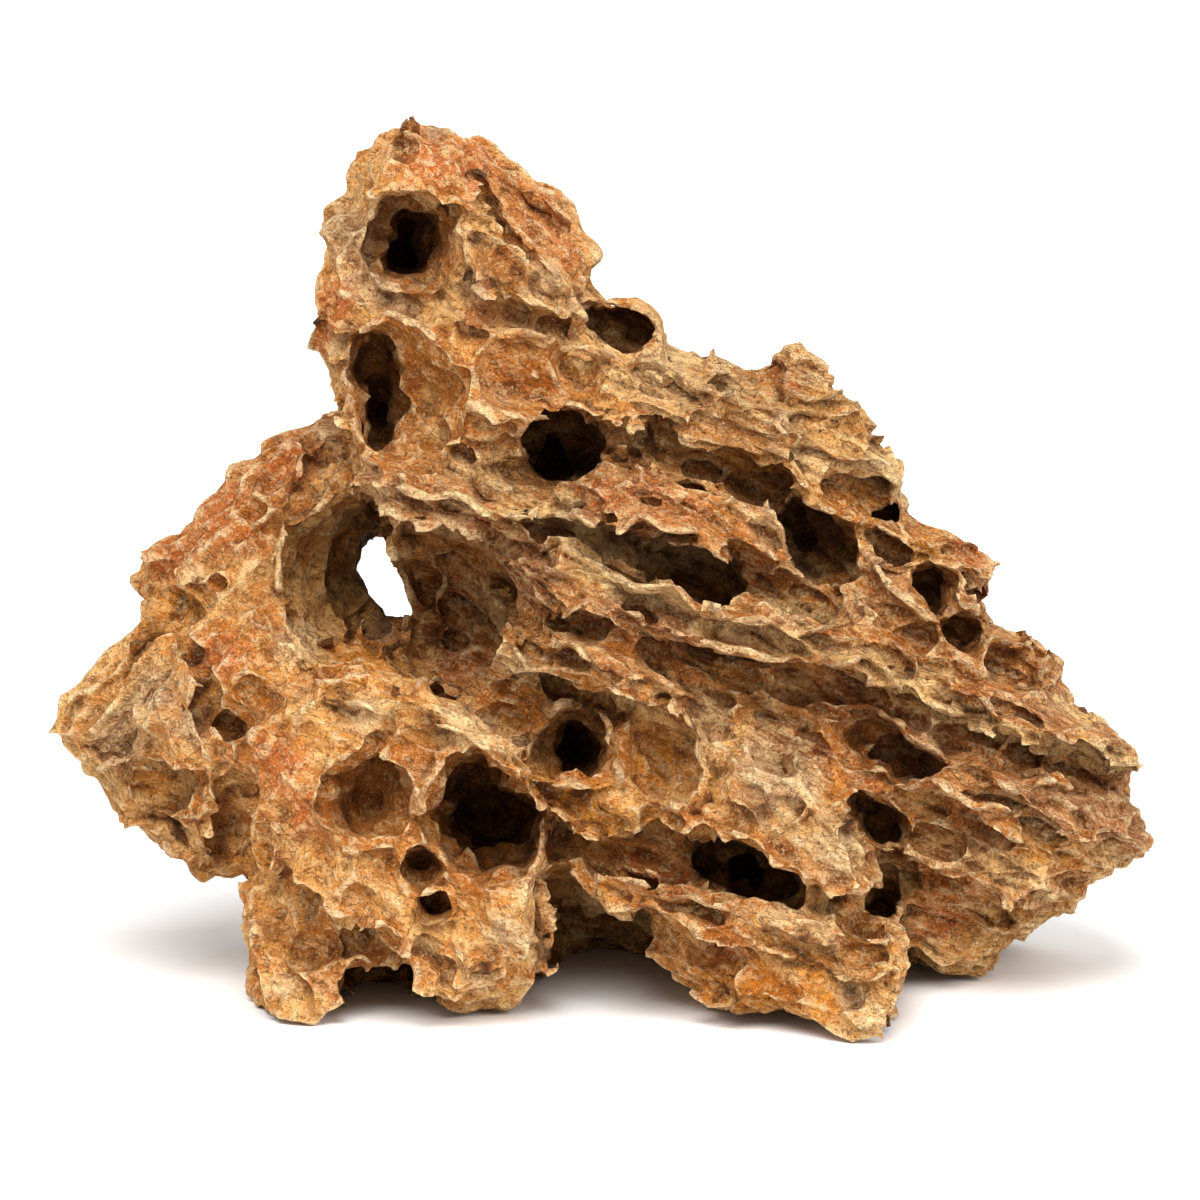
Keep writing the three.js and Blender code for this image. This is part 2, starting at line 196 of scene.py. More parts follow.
def drop(made: bpy.types.Object) -> None:
    """Removes an object and its mesh.

    Args:
        made: The object.
    """
    mesh = made.data
    bpy.data.objects.remove(made)
    bpy.data.meshes.remove(mesh)


def points_of(mesh: bpy.types.Mesh) -> np.ndarray:
    """Reads where a mesh's vertices lie.

    Args:
        mesh: The mesh.

    Returns:
        One row of three numbers for each vertex.
    """
    flat = np.empty(len(mesh.vertices) * 3)
    mesh.vertices.foreach_get("co", flat)
    return flat.reshape(-1, 3)


def place_points(mesh: bpy.types.Mesh, points: np.ndarray) -> None:
    """Moves a mesh's vertices to the rows of `points`."""
    mesh.vertices.foreach_set("co", points.ravel())
    mesh.update()


def tree_of(mesh: bpy.types.Mesh) -> BVHTree:
    """Returns a search tree over a mesh's faces."""
    return BVHTree.FromPolygons(
        [vertex.co for vertex in mesh.vertices],
        [polygon.vertices for polygon in mesh.polygons],
    )


def smooth_line(points: tuple[Spot, ...], step: float, closed: bool = False) -> np.ndarray:
    """Runs a smooth line through points on the face.

    Args:
        points: The points.
        step: About how far apart the line's own points lie.
        closed: Whether the line comes back to its start.

    Returns:
        The line's points, as rows.
    """
    knots = np.array(points, dtype=float)
    if closed:
        knots = np.vstack([knots[-1:], knots, knots[:2]])
    else:
        knots = np.vstack([2 * knots[:1] - knots[1:2], knots, 2 * knots[-1:] - knots[-2:-1]])
    line = []
    for before, start, end, after in zip(knots, knots[1:], knots[2:], knots[3:]):
        count = max(round(float(np.linalg.norm(end - start)) / step), 1)
        for share in np.arange(count) / count:
            bend = 2 * before - 5 * start + 4 * end - after
            twist = 3 * (start - end) + after - before
            line.append(start + 0.5 * share * (end - before + share * (bend + share * twist)))
    if not closed:
        line.append(knots[-2])
    return np.array(line)


class Web:
    """The links between a mesh's neighbouring vertices, along which values are evened out."""

    def __init__(self, mesh: bpy.types.Mesh) -> None:
        """Reads a mesh's edges.

        Args:
            mesh: The mesh.
        """
        flat = np.empty(len(mesh.edges) * 2, dtype=np.int64)
        mesh.edges.foreach_get("vertices", flat)
        edges = flat.reshape(-1, 2)
        self.count = len(mesh.vertices)
        self.ends = np.concatenate([edges[:, 0], edges[:, 1]])
        self.others = np.concatenate([edges[:, 1], edges[:, 0]])
        self.links = np.maximum(np.bincount(self.ends, minlength=self.count), 1)

    def even_out(self, values: np.ndarray, rounds: int) -> np.ndarray:
        """Averages each vertex's value with its neighbours'.

        Args:
            values: One number or one row for each vertex.
            rounds: How often.

        Returns:
            The evened values.
        """
        columns = values.reshape(self.count, -1).T
        for _ in range(rounds):
            sums = [np.bincount(self.ends, column[self.others], self.count) for column in columns]
            columns = 0.5 * columns + 0.5 * np.array(sums) / self.links
        return columns.T.reshape(values.shape)


NOISE_STEP = np.array([17.3, -9.1, 4.7])  # how far apart two seeds sample the noise
NOISE_GAIN = 1.6  # brings plain noise to about -1 to 1
NOISE_FADE = 0.9  # how much weaker each finer layer is
NOISE_FINER = 2.1  # how much finer it is


def noise_at(points: np.ndarray, size: float, seed: int, octaves: int = 1) -> np.ndarray:
    """Samples smooth noise, between about -1 and 1.

    Args:
        points: The places, as rows.
        size: The size of its lumps.
        seed: Which noise.
        octaves: How many finer layers it has in all.

    Returns:
        One value for each place.
    """
    rows = (points / size + NOISE_STEP * seed).tolist()
    if octaves == 1:
        return np.array([noise.noise(row) for row in rows]) * NOISE_GAIN
    return np.array([noise.fractal(row, NOISE_FADE, NOISE_FINER, octaves) for row in rows])


# ---- What is laid on the stone and cut into it ----


class Ground:
    """The face of the stone as it is seen square on, which features are laid on."""

    def __init__(self, made: bpy.types.Object) -> None:
        """Reads an object's mesh."""
        self.tree = tree_of(made.data)

    def follow(self, line: np.ndarray) -> tuple[np.ndarray, np.ndarray]:
        """Finds the surface under a line on the face.

        Args:
            line: The line's points, across and up.

        Returns:
            The points on the surface, and the surface's unit normals there.
        """
        found = []
        for spot in line:
            place, normal, *_ = self.tree.ray_cast(VIEWER, Vector((*spot, 0)) - VIEWER)
            found.append((place.z, normal) if place else None)
        known = [hit for hit in found if hit]
        if not known:
            raise ValueError(f"nothing lies under {line[0]}")
        hits = []
        for hit in found:
            hits.append(hit or (hits[-1] if hits else known[0]))
        heights = np.array([height for height, _ in hits])
        normals = np.array([tuple(normal) for _, normal in hits])
        nearer = (1 - heights / VIEWER.z)[:, None]
        return np.column_stack([VIEWER[:2] + (line - VIEWER[:2]) * nearer, heights]), normals

    def shows(self, spot: np.ndarray) -> bool:
        """Returns whether the stone is seen at a spot on the face."""
        return self.tree.ray_cast(VIEWER, Vector((*spot, 0)) - VIEWER)[0] is not None


def skin(bm: bmesh.types.BMesh, rings: list[np.ndarray]) -> None:
    """Joins rings of points into one closed tube with flat ends.

    Args:
        bm: Where the tube is added.
        rings: The rings, each with the same number of points.
    """
    loops = [[bm.verts.new(point) for point in ring] for ring in rings]
    for loop, following in zip(loops, loops[1:]):
        for side in range(len(loop)):
            other = (side + 1) % len(loop)
            bm.faces.new((loop[side], loop[other], following[other], following[side]))
    bm.faces.new(loops[0][::-1])
    bm.faces.new(loops[-1])


class Section(Enum):
    """Cross-sections of long features.

    Each point has its place across the feature, in widths towards the right-hand side of its run,
    its rise, in heights, and a further rise in millimetres.
    """

    RIB = ((-0.6, 0, -2.5), (-0.25, 0.5, 0), (0.25, 1, 0), (0.45, 0.5, 0), (0.15, 0, -2.5))
    CLEFT = ((-0.45, 0, 3), (0.55, 0, 3), (0.35, -0.5, 0), (-0.3, -1, 0), (-0.7, -0.55, 0))


@dataclass(frozen=True)
class Strip:
    """A long feature: a rib laid on the stone or a cleft cut into it."""

    section: Section
    width: float
    height: float
    path: tuple[Spot, ...]

    STEP = 1.8  # between two rings
    TAPER = 1.6  # how long its pointed ends are, in widths
    TIP = 0.12  # what is left of the width at a tip
    UPRIGHT = 0.8  # how much the way it rises is turned from the surface's normal towards the front
    UNEVEN = 0.35  # how much its height varies
    SWAY = 0.22  # how far it strays sideways, in widths

    def build(self, bm: bmesh.types.BMesh, ground: Ground) -> None:
        """Adds the strip to a bmesh, following the ground.

        Args:
            bm: Where it is added.
            ground: What it is laid on.
        """
        places, normals = ground.follow(smooth_line(self.path, self.STEP))
        steps = np.linalg.norm(np.diff(places[:, :2], axis=0), axis=1)
        run = np.concatenate([[0.0], np.cumsum(steps)])
        from_tip = np.minimum(run, run[-1] - run)
        taper = np.clip(from_tip / (self.TAPER * self.width), self.TIP, 1.0) ** 0.7
        places[1:-1, 2] = (places[:-2, 2] + 2 * places[1:-1, 2] + places[2:, 2]) / 4
        along = np.gradient(places, axis=0)
        along[:, 2] = 0
        rise = normals + np.array([0, 0, self.UPRIGHT])
        rise /= np.linalg.norm(rise, axis=1, keepdims=True)
        side = np.cross(along, rise)
        side /= np.maximum(np.linalg.norm(side, axis=1, keepdims=True), 1e-6)
        wave = noise_at(places, 5.0, 3)
        shift = noise_at(places, 7.0, 5) * self.SWAY * self.width
        rings = []
        for row in range(len(places)):
            reach = self.height * taper[row] * (1 + self.UNEVEN * wave[row])
            ring = []
            for sideways, share, extra in self.section.value:
                over = sideways * self.width * taper[row] + shift[row]
                ring.append(places[row] + side[row] * over + rise[row] * (share * reach + extra))
            rings.append(np.array(ring))
        skin(bm, rings)


@dataclass(frozen=True)
class Slab:
    """A flat piece that stands out from the stone, most along its lower edge."""

    stand: float
    outline: tuple[Spot, ...]

    FOOT = 0.84  # the size of its foot in the stone, against its outline
    SUNK = 5.0  # how deep its foot lies
    TOP = 0.72  # the size of its top, against its outline

    def build(self, bm: bmesh.types.BMesh, ground: Ground) -> None:
        """Adds the slab to a bmesh, following the ground.

        Args:
            bm: Where it is added.
            ground: What it is laid on.
        """
        loop, _ = ground.follow(np.array(self.outline, dtype=float))
        middle = loop.mean(axis=0)
        spread = loop - middle
        reach = np.linalg.norm(spread[:, :2], axis=1, keepdims=True)
        low = (spread[:, :2] @ np.array([[-0.2], [-1.0]])) / reach
        flat = np.array([1.0, 1.0, 0.7])
        lift = np.array([0, 0, 1.0]) * self.stand
        corners = [
            *(middle + spread * flat * self.FOOT - [0, 0, self.SUNK]),
            *(middle + spread * flat + lift * (0.3 + 0.25 * low)),
            *(middle + spread * flat * self.TOP + lift * (0.85 + 0.2 * low)),
        ]
        verts = [bm.verts.new(corner) for corner in corners]
        hull = bmesh.ops.convex_hull(bm, input=verts, use_existing_faces=False)
        inside = {*hull["geom_interior"], *hull["geom_unused"]}
        bmesh.ops.delete(bm, geom=[vert for vert in verts if vert in inside], context="VERTS")


@dataclass(frozen=True)
class Hollow:
    """A hole, bowl or trough with its own outline."""

    depth: float
    mouth: tuple[Spot, ...]

    STEP = 1.6  # between two points of its mouth
    FLARE = 1.05  # how much wider the cutter is in front of the stone
    CLEAR = 6.0  # how far the cutter stands out in front of it
    LEVELS = ((0.05, 1.0), (0.3, 0.97), (0.58, 0.86), (0.83, 0.64), (1.0, 0.28))  # depth, width

    def build(self, bm: bmesh.types.BMesh, ground: Ground) -> None:
        """Adds the cutter of the hollow to a bmesh, following the ground.

        Args:
            bm: Where it is added.
            ground: What it is cut into.
        """
        loop, _ = ground.follow(smooth_line(self.mouth, self.STEP, closed=True))
        span = len(loop) // 6
        loop[:, 2] = np.max([np.roll(loop[:, 2], turn) for turn in range(-span, span + 1)], axis=0)
        middle = loop.mean(axis=0)
        spread = loop - middle
        outside = middle + spread * [self.FLARE, self.FLARE, 0]
        outside[:, 2] = loop[:, 2].max() + self.CLEAR
        rings = [outside]
        for level, share in self.LEVELS:
            bend = np.array([share, share, (1 - level) ** 0.5])
            rings.append(middle + spread * bend + [0, 0, -self.depth * level])
        skin(bm, rings)


def oval(
    across: float, up: float, length: float, width: float, turn: float = 0.0
) -> tuple[Spot, ...]:
    """Works out the outline of an oval mouth.

    Args:
        across: Where its middle is, across.
        up: Where its middle is, up.
        length: Half of its long way.
        width: Half of its short way.
        turn: Degrees from across towards up.

    Returns:
        Eight points round it.
    """
    outline = []
    lean = math.radians(turn)
    for corner in range(8):
        angle = corner * math.pi / 4
        run, rise = length * math.cos(angle), width * math.sin(angle)
        outline.append(
            (
                across + run * math.cos(lean) - rise * math.sin(lean),
                up + run * math.sin(lean) + rise * math.cos(lean),
            )
        )
    return tuple(outline)


RIB_RISE = 1.5  # what a rib's height in the rows is multiplied by
CLEFT_SPREAD, CLEFT_SINK = 1.25, 1.3  # and a cleft's width and depth

# Ribs and clefts. Each row is the width, the height or depth, and the points that the feature runs
# through. A rib leans over to the right-hand side of its run, and a cleft cuts in under its left.
RIBS = tuple(
    Strip(Section.RIB, width, RIB_RISE * height, path)
    for width, height, *path in (
        # the peak
        (5, 2.5, (-46, 187), (-40, 188), (-33, 186)),
        (5, 3, (-36, 172), (-33, 167), (-34, 161), (-34, 156)),
        (4, 2.5, (-32, 166), (-26, 165), (-20, 163), (-18, 161)),
        (5, 4, (-19, 161), (-14, 157), (-10, 155), (-6, 152), (-1, 149)),
        (5, 2.5, (-24, 181), (-18, 175), (-12, 171), (-9, 166), (-4, 161)),
        (4, 2, (-51, 158), (-46, 154), (-41, 152), (-36, 154)),
        (4, 2.5, (-34, 154), (-28, 153), (-22, 150), (-19, 148)),
        (5, 3, (-38, 150), (-33, 147), (-25, 143), (-18, 143), (-12, 142), (-6, 140)),
        (4, 2.5, (-14, 152), (-8, 147), (-3, 143)),
        (5, 3, (-62, 156), (-59, 150), (-60, 145), (-62, 141)),
        (5, 3, (-56, 136), (-52, 143), (-45, 146), (-38, 143), (-34, 139), (-31, 135)),
        (5, 4, (-60, 128), (-56, 126), (-52, 122), (-50, 119)),
        (4, 3, (-29, 138), (-24, 142), (-16, 142), (-10, 140)),
        (4, 2.5, (-31, 132), (-27, 134), (-25, 138)),
        # the pale beds over the tunnel
        (4, 3, (-55, 118), (-50, 116), (-44, 113), (-38, 114), (-33, 116), (-26, 113),
            (-20, 109), (-14, 107)),
        (5, 4, (-55, 113), (-48, 110), (-40, 108), (-33, 107), (-26, 104), (-19, 102)),
        (4, 3, (-52, 106), (-44, 104), (-36, 102), (-28, 99.5), (-20, 99)),
        (5, 3.5, (-57, 110), (-52, 105), (-47, 101), (-40, 98), (-33, 97), (-28, 96)),
        (4, 3, (-17, 105), (-12, 107), (-7, 105), (-3, 104)),
        (4, 2.5, (-34, 121), (-27, 118), (-20, 114), (-14, 110)),
        # the rim of the tunnel and of the bowl beside it
        (5, 3.5, (-25, 66), (-22, 73), (-20, 80), (-21, 86), (-25, 91), (-28, 97)),
        (4, 3, (-64, 80), (-68, 84), (-70, 90), (-70, 97), (-68, 104), (-64, 109), (-57, 111)),
        (4, 2.5, (-38, 72), (-42, 77), (-48, 79), (-55, 77), (-62, 78)),
        (4, 3, (-26, 62), (-30, 66), (-36, 67), (-42, 65), (-50, 66)),
        (3, 2.5, (-36, 99), (-34, 92), (-36, 85), (-34, 78), (-36, 72)),
        # the broad bed in the middle
        (4, 2.5, (-10, 112), (-5, 113.5), (0, 117), (4, 118), (10, 116.5), (16, 113), (18, 110)),
        (4, 4, (-10, 106), (-4, 104), (2, 102), (8, 103), (14, 101.5), (20, 99), (24, 98.5)),
        (5, 3.5, (20, 107), (26, 106), (33, 105), (38, 101), (40, 96), (44, 92)),
        (3, 1.5, (4, 113), (12, 109), (18, 105), (24, 103)),
        # the crest
        (5, 3.5, (-5, 141), (0, 138), (6, 136), (12, 136), (18, 133), (22, 130), (30, 129),
            (36, 127)),
        (3, 3, (20, 127), (28, 126.5), (35, 126), (42, 122), (48, 119), (54, 114)),
        (5, 4, (-2, 125), (6, 123), (12, 120.5), (20, 118), (28, 115), (36, 112.5), (44, 110),
            (51, 105)),
        (3, 2, (4, 131), (12, 128), (20, 123), (28, 120), (36, 117), (44, 113)),
        (3, 2, (2, 128), (10, 124.5), (18, 121)),
        (5, 2.5, (33, 134), (40, 131), (48, 128), (56, 125), (60, 121)),
        (4, 2.5, (38, 130), (46, 126), (54, 121), (60, 117), (63, 111)),
        (3, 2, (42, 119), (50, 116), (56, 114), (62, 109)),
        (4, 2.5, (38, 137), (43, 139), (48, 136), (53, 130)),
        (3, 2, (40, 135), (46, 134), (50, 131)),
        (3, 2.5, (44, 107), (52, 104), (58, 100), (64, 98), (70, 94)),
        (4, 2.5, (50, 105), (58, 102), (65, 100), (72, 95), (80, 94)),
        (5, 2, (63, 100), (70, 98), (78, 96), (85, 92)),
        (4, 3, (70, 93), (76, 92), (82, 90), (86, 89)),
        # the long beds
        (3, 2.5, (-27, 96), (-18, 99), (-10, 98), (0, 96), (8, 93), (14, 90), (19, 86)),
        (3, 2, (-24, 92), (-14, 94), (-6, 92), (0, 91)),
        (3, 2.5, (-21, 84), (-14, 82.5), (-6, 84), (-2, 86)),
        (4, 4.5, (-3, 88), (3, 90), (8, 88), (16, 86), (22, 83), (30, 81), (40, 77), (48, 73)),
        (3, 2.5, (-1, 84), (8, 82), (16, 79), (24, 76), (30, 74.5), (36, 74)),
        (5, 3.5, (28, 84), (34, 83), (42, 80), (50, 79), (56, 80), (62, 78), (66, 73), (70, 67),
            (70, 63)),
        (4, 4, (45, 75), (52, 72), (58, 70), (64, 66), (69, 62.5)),
        (4, 2, (2, 81), (8, 78), (14, 76), (20, 73)),
        (4, 3, (-8, 79), (0, 79.5), (8, 77.5), (14, 74), (20, 71), (25, 67)),
        (4, 4.5, (-14, 77), (-9, 75), (-3, 72.5), (4, 69), (12, 65.5), (20, 61.5), (24, 62)),
        (3, 2.5, (-22, 76), (-14, 73), (-8, 70), (-2, 69), (4, 66), (10, 63.5), (18, 62)),
        (3, 2.5, (-24, 68), (-18, 67), (-12, 64), (-9, 63), (-3, 62), (1, 59), (4, 52)),
        (3, 2.5, (25, 66), (34, 67), (42, 64.5), (49, 61)),
        (4, 3.5, (22, 61), (30, 63), (38, 62), (44, 59), (49, 57)),
        (4, 2.5, (42, 66), (50, 62), (58, 60.5), (66, 57)),
        (5, 3, (52, 57), (58, 54.5), (66, 51.5), (74, 50), (80, 51), (88, 50), (96, 47)),
        (4, 3, (70, 63), (76, 60), (84, 57), (92, 54), (97, 53)),
        (4, 3, (74, 66), (82, 63), (90, 59), (96, 56), (103, 53)),
        (4, 3, (72, 70), (78, 68.5), (84, 66), (91, 62)),
        (5, 4, (75, 49), (82, 48.5), (90, 46), (98, 45), (105, 43)),
        (4, 3.5, (66, 45.5), (72, 44), (80, 41), (88, 40), (96, 37), (104, 35)),
        (3, 2.5, (76, 45.5), (84, 44), (92, 42), (100, 41)),
        (4, 3, (71, 38), (78, 38), (86, 37), (94, 34), (101, 30.5)),
        (4, 2.5, (84, 33), (92, 30), (99, 28), (104, 29)),
        (4, 2.5, (78, 27), (86, 27), (94, 25), (99, 24.5)),
        (5, 4, (80, 25), (88, 22), (95, 20), (100, 20)),
        (4, 3, (88, 19), (95, 18), (102, 17.5)),
        (4, 2.5, (84, 14), (90, 12.5), (95, 13)),
        (3, 2, (104, 42), (110, 40), (116, 37)),
        (3, 2, (106, 36), (112, 34), (118, 33)),
        (4, 3, (62, 27), (68, 28.5), (74, 28), (79, 27)),
        # the nose
        (5, 3, (18, 42), (21.5, 50), (21, 56), (17, 62)),
        (4, 2.5, (22, 60), (30, 59), (38, 57), (43, 53), (43, 46), (44, 41)),
        (4, 3, (34, 38), (38, 39.5), (44, 39), (50, 37), (56, 36), (60, 32)),
        (5, 4, (16, 34), (24, 33), (32, 33.5), (36, 30), (42, 26), (46, 21.5), (52, 19.5)),
        (4, 3, (46, 24), (52, 21), (58, 21), (61, 24)),
        (5, 2, (45, 56), (50, 48), (56, 42), (60, 36)),
        (4, 2.5, (2, 59), (3, 52), (5, 47), (8, 43)),
        (5, 3, (-20, 50), (-12, 46), (-6, 45), (0, 44), (5, 45)),
        (4, 2.5, (-17, 43), (-10, 39), (-4, 35), (4, 32)),
        (3, 2, (-4, 42), (2, 40), (7, 36)),
        # the long foot and its ledges
        (4, 2.5, (-8, 33), (0, 30.5), (8, 29), (15, 27)),
        (4, 3.5, (-2, 27), (4, 24), (10, 22), (18, 21), (24, 19), (32, 15), (38, 12)),
        (4, 3, (40, 11), (47, 9.5), (54, 10), (60, 10.5), (64, 9)),
        (4, 3, (46, 6), (52, 3.5), (58, 2.5), (62, 4), (66, 6)),
        (5, 2, (50, -4), (54, -7), (60, -7), (63, -3)),
        (5, 2, (16, 10), (20, 3), (28, -1), (36, -2)),
        # the shoulder, whose grain runs along its outline
        (5, 1, (-97, 98), (-88, 104), (-80, 110), (-74, 116), (-66, 121)),
        (5, 1, (-92, 95), (-84, 101), (-76, 107), (-68, 114), (-60, 121)),
        (5, 1, (-84, 93), (-77, 100), (-71, 106), (-65, 112), (-57, 118)),
        (5, 1, (-78, 88), (-74, 95), (-69, 103), (-62, 112)),
        # the fan of flutes on the wedge
        (5, 1, (-92, 84), (-102, 74), (-110, 65), (-117, 58)),
        (5, 1, (-91, 83), (-99, 72), (-106, 62), (-111, 55)),
        (5, 1, (-90, 82), (-96, 70), (-101, 60), (-104, 53)),
        (5, 1, (-89, 80), (-92, 69), (-95, 60), (-97, 53)),
        (5, 1, (-87, 74), (-88, 65), (-89, 57), (-90, 51)),
        (5, 4, (-114, 55), (-108, 50), (-100, 51), (-95, 49), (-88, 50), (-82, 52)),
        (5, 3, (-108, 42), (-103, 38), (-97, 36), (-92, 33), (-86, 28)),
        (4, 2.5, (-90, 61), (-86, 52), (-84, 44), (-82, 36)),
        # the block on two legs
        (5, 3, (-79, 38), (-79, 46), (-79, 54), (-79, 62)),
        (4, 3, (-79, 38), (-74, 37), (-70, 33), (-69, 27), (-70, 21)),
        (5, 3.5, (-70, 21), (-65, 18), (-61, 14.5), (-55, 13), (-48, 16), (-43, 11), (-38, 4),
            (-32, -2)),
        (5, 4, (-61, 63), (-52, 62), (-45, 60.5), (-38, 59)),
        (5, 2.5, (-42, 54), (-40, 46), (-38, 38), (-34, 31)),
        (4, 2.5, (-16, 2), (-13, 10), (-11, 18), (-12, 26)),
        (4, 2, (-60, 34), (-54, 30), (-46, 31), (-42, 24)),
        (4, 2.5, (-56, 8), (-50, 9), (-45, 8), (-40, 3)),
        (4, 2, (-36, 12), (-30, 10), (-26, 5), (-22, 8)),
        (4, 2.5, (-77, 22), (-74, 14), (-75, 5), (-74, -2)),
        (4, 2, (-68, 18), (-66, 8), (-62, 2), (-62, -5)),
    )
)

CLEFTS = tuple(
    Strip(Section.CLEFT, CLEFT_SPREAD * width, CLEFT_SINK * depth, path)
    for width, depth, *path in (
        (3, 6, (-26, 176), (-22, 171), (-18, 165), (-13, 160), (-7, 156)),
        (3, 6, (-18, 103), (-13, 101), (-9, 100.5)),
        (2, 5, (-28, 99), (-22, 98)),
        (3.5, 6, (-5, 101.5), (4, 100), (12, 99), (20, 97)),
        (2.2, 9, (3, 118.8), (8, 118), (12, 116.5)),
        (3, 9, (18, 111), (22, 109.5), (26, 107.5)),
        (4, 7, (10, 119), (16, 116.5), (24, 113), (32, 112), (40, 110), (45, 108)),
        (3, 5, (22, 134), (27, 132.5), (31, 134)),
        (2.4, 5, (56, 101), (62, 97.5), (68, 94)),
        (3, 4.5, (4, 86), (14, 83), (24, 79), (34, 75.5), (42, 73)),
        (5, 9, (19, 72), (24, 72.5), (30, 71.5), (37, 69)),
        (2, 7, (-10, 78), (-6, 73.5), (0, 70.5), (8, 67), (18, 62.5)),
        (2, 5, (-20, 76.5), (-14, 73.5), (-9, 70.5)),
        (3, 5, (8, 81), (16, 77.5), (24, 74)),
        (4.5, 9, (60, 53.5), (68, 50), (74, 48)),
        (2.2, 5, (64, 62), (70, 60), (78, 56), (88, 53), (96, 50)),
        (2.2, 5, (84, 68), (90, 63), (97, 59)),
        (2.4, 5, (80, 42.5), (88, 41), (95, 38.5), (103, 36)),
        (3, 7, (88, 38), (95, 34), (103, 30)),
        (2, 4, (34, 36), (37, 39), (44, 40)),
        (2.4, 6, (76, 66), (82, 68), (86, 65), (92, 61)),
        (3, 6, (-70, 100), (-64, 110), (-56, 120), (-54, 127)),
        (3, 5, (-86, 56), (-84, 64), (-88, 72), (-93, 80)),
        (3, 5, (-82, 53), (-81, 44), (-82, 34), (-80, 26)),
        (2.4, 5, (-14, 30), (-9, 32), (-3, 30), (6, 27), (14, 25)),
        (2.4, 6, (52, 10), (58, 8), (63, 8)),
        (3, 5, (-46, 62), (-40, 57), (-34, 53)),
        (2.4, 5, (38, 124), (46, 120), (53, 116)),
        (2.4, 5, (76, 93), (80, 88), (82, 83), (86, 80)),
        (3, 6, (88, 77), (90, 78), (96, 77)),
        (2.4, 5, (104, 52), (110, 48), (114, 45)),
        (2.4, 5, (66, 12), (68, 8), (70, 6)),
    )
)

# Each row is how far the slab stands out, and its outline.
SLABS = tuple(
    Slab(stand, outline)
    for stand, *outline in (
        (3, (-52, 174), (-50, 176), (-46, 175), (-44, 172), (-46, 170), (-50, 171)),
        (3.5, (-36, 172), (-33, 175), (-28, 174), (-25, 171), (-28, 169), (-32, 170)),
        (3, (-47, 182), (-43, 187), (-35, 188), (-30, 185), (-34, 181), (-42, 180)),
        (3, (-63, 145), (-60, 150), (-57, 147), (-57, 141), (-61, 139)),
        (3, (-60, 139), (-57, 142), (-54, 139), (-56, 136), (-59, 136)),
        (7, (-31, 130), (-27, 131.5), (-22, 128), (-15, 124.5), (-14, 121), (-17, 119.5),
            (-24, 121)),
        (4, (-33, 166), (-27, 168), (-21, 165), (-24, 158), (-31, 157), (-34, 160)),
        (3, (3, 149), (8, 151), (12, 148), (14, 144), (11, 144), (5, 147)),
        (4, (-92, 76), (-88, 70), (-86, 65), (-81, 62), (-77, 65), (-71, 70), (-72, 78),
            (-76, 82), (-82, 84)),
        (3, (-71, 71), (-70, 80), (-65, 79), (-62, 73), (-63, 68), (-68, 66)),
        (4, (-101, 95), (-97, 99), (-92, 97), (-91, 92), (-97, 91)),
        (4, (-93, 92), (-88, 94), (-84, 90), (-88, 87), (-92, 88)),
        (7, (-40, 59), (-34, 61), (-26, 59), (-18, 56), (-14, 53), (-17, 50.5), (-24, 51),
            (-34, 54)),
        (8, (55, 95), (59, 96.5), (63, 93), (68, 89), (69, 86), (74, 80.5), (71, 79.5), (66, 83),
            (60, 87)),
        (7, (51, 84), (53, 87.5), (57, 87), (60, 85), (64, 81.5), (60, 80.5), (55, 81)),
        (7, (38, 95), (42, 94), (46, 92), (47.5, 89.5), (44, 88), (40, 90)),
        (7, (75, 88), (79, 90), (82, 90), (81, 86), (80, 82), (77, 82.5)),
        (3, (80, 76), (83, 78.5), (87, 77), (87, 74), (83, 73)),
        (4, (90, 63), (94, 66.5), (98, 66.5), (102, 63), (106, 60), (103, 57), (97, 60)),
        (5, (98, 59), (108, 59), (112, 55), (116, 52), (117, 47.5), (113, 46), (108, 49),
            (103, 54)),
        (5, (64, 57), (68, 58), (73, 56.5), (78, 52.5), (77, 50), (72, 51), (66, 54.5)),
        (3, (104, 42), (110, 43), (114, 38), (112, 34), (106, 36)),
        (3, (112, 34), (118, 36), (119, 31), (114, 29)),
        (3, (61, 31), (65, 33), (70, 31.5), (73, 29), (66, 28)),
        (3, (62, 16), (64, 20), (67, 19), (68, 16), (65, 14)),
        (4, (62, 10), (64, 14), (67, 13), (68.5, 8), (66, 5), (63, 7)),
        (4.5, (32, 18), (37, 20), (44, 18), (50, 16), (53.5, 11.5), (50, 9), (44, 10), (38, 12)),
        (4, (36, 37), (42, 39), (50, 37), (58, 34), (61, 27), (60, 23), (52, 21), (46, 25),
            (38, 31)),
        (7, (40, 30), (47, 33), (55, 32), (60, 27), (60, 22), (54, 20.5), (48, 22), (42, 26)),
        (5, (22, 50), (28, 53), (38, 50), (46, 46), (50, 40), (44, 36), (34, 36), (26, 40)),
        (3, (50, -3), (56, 0), (62, -2), (63, -8), (56, -9)),
        (3, (-36, 8), (-30, 11), (-25, 7), (-27, 1), (-33, 1)),
        (3, (-24, 10), (-19, 12), (-16, 6), (-19, 0), (-23, 3)),
        (3, (-77, 12), (-72, 14), (-69, 6), (-70, -3), (-76, -1)),
        (3, (88, 16), (92, 18), (97, 16), (95, 13), (90, 12)),
    )
)

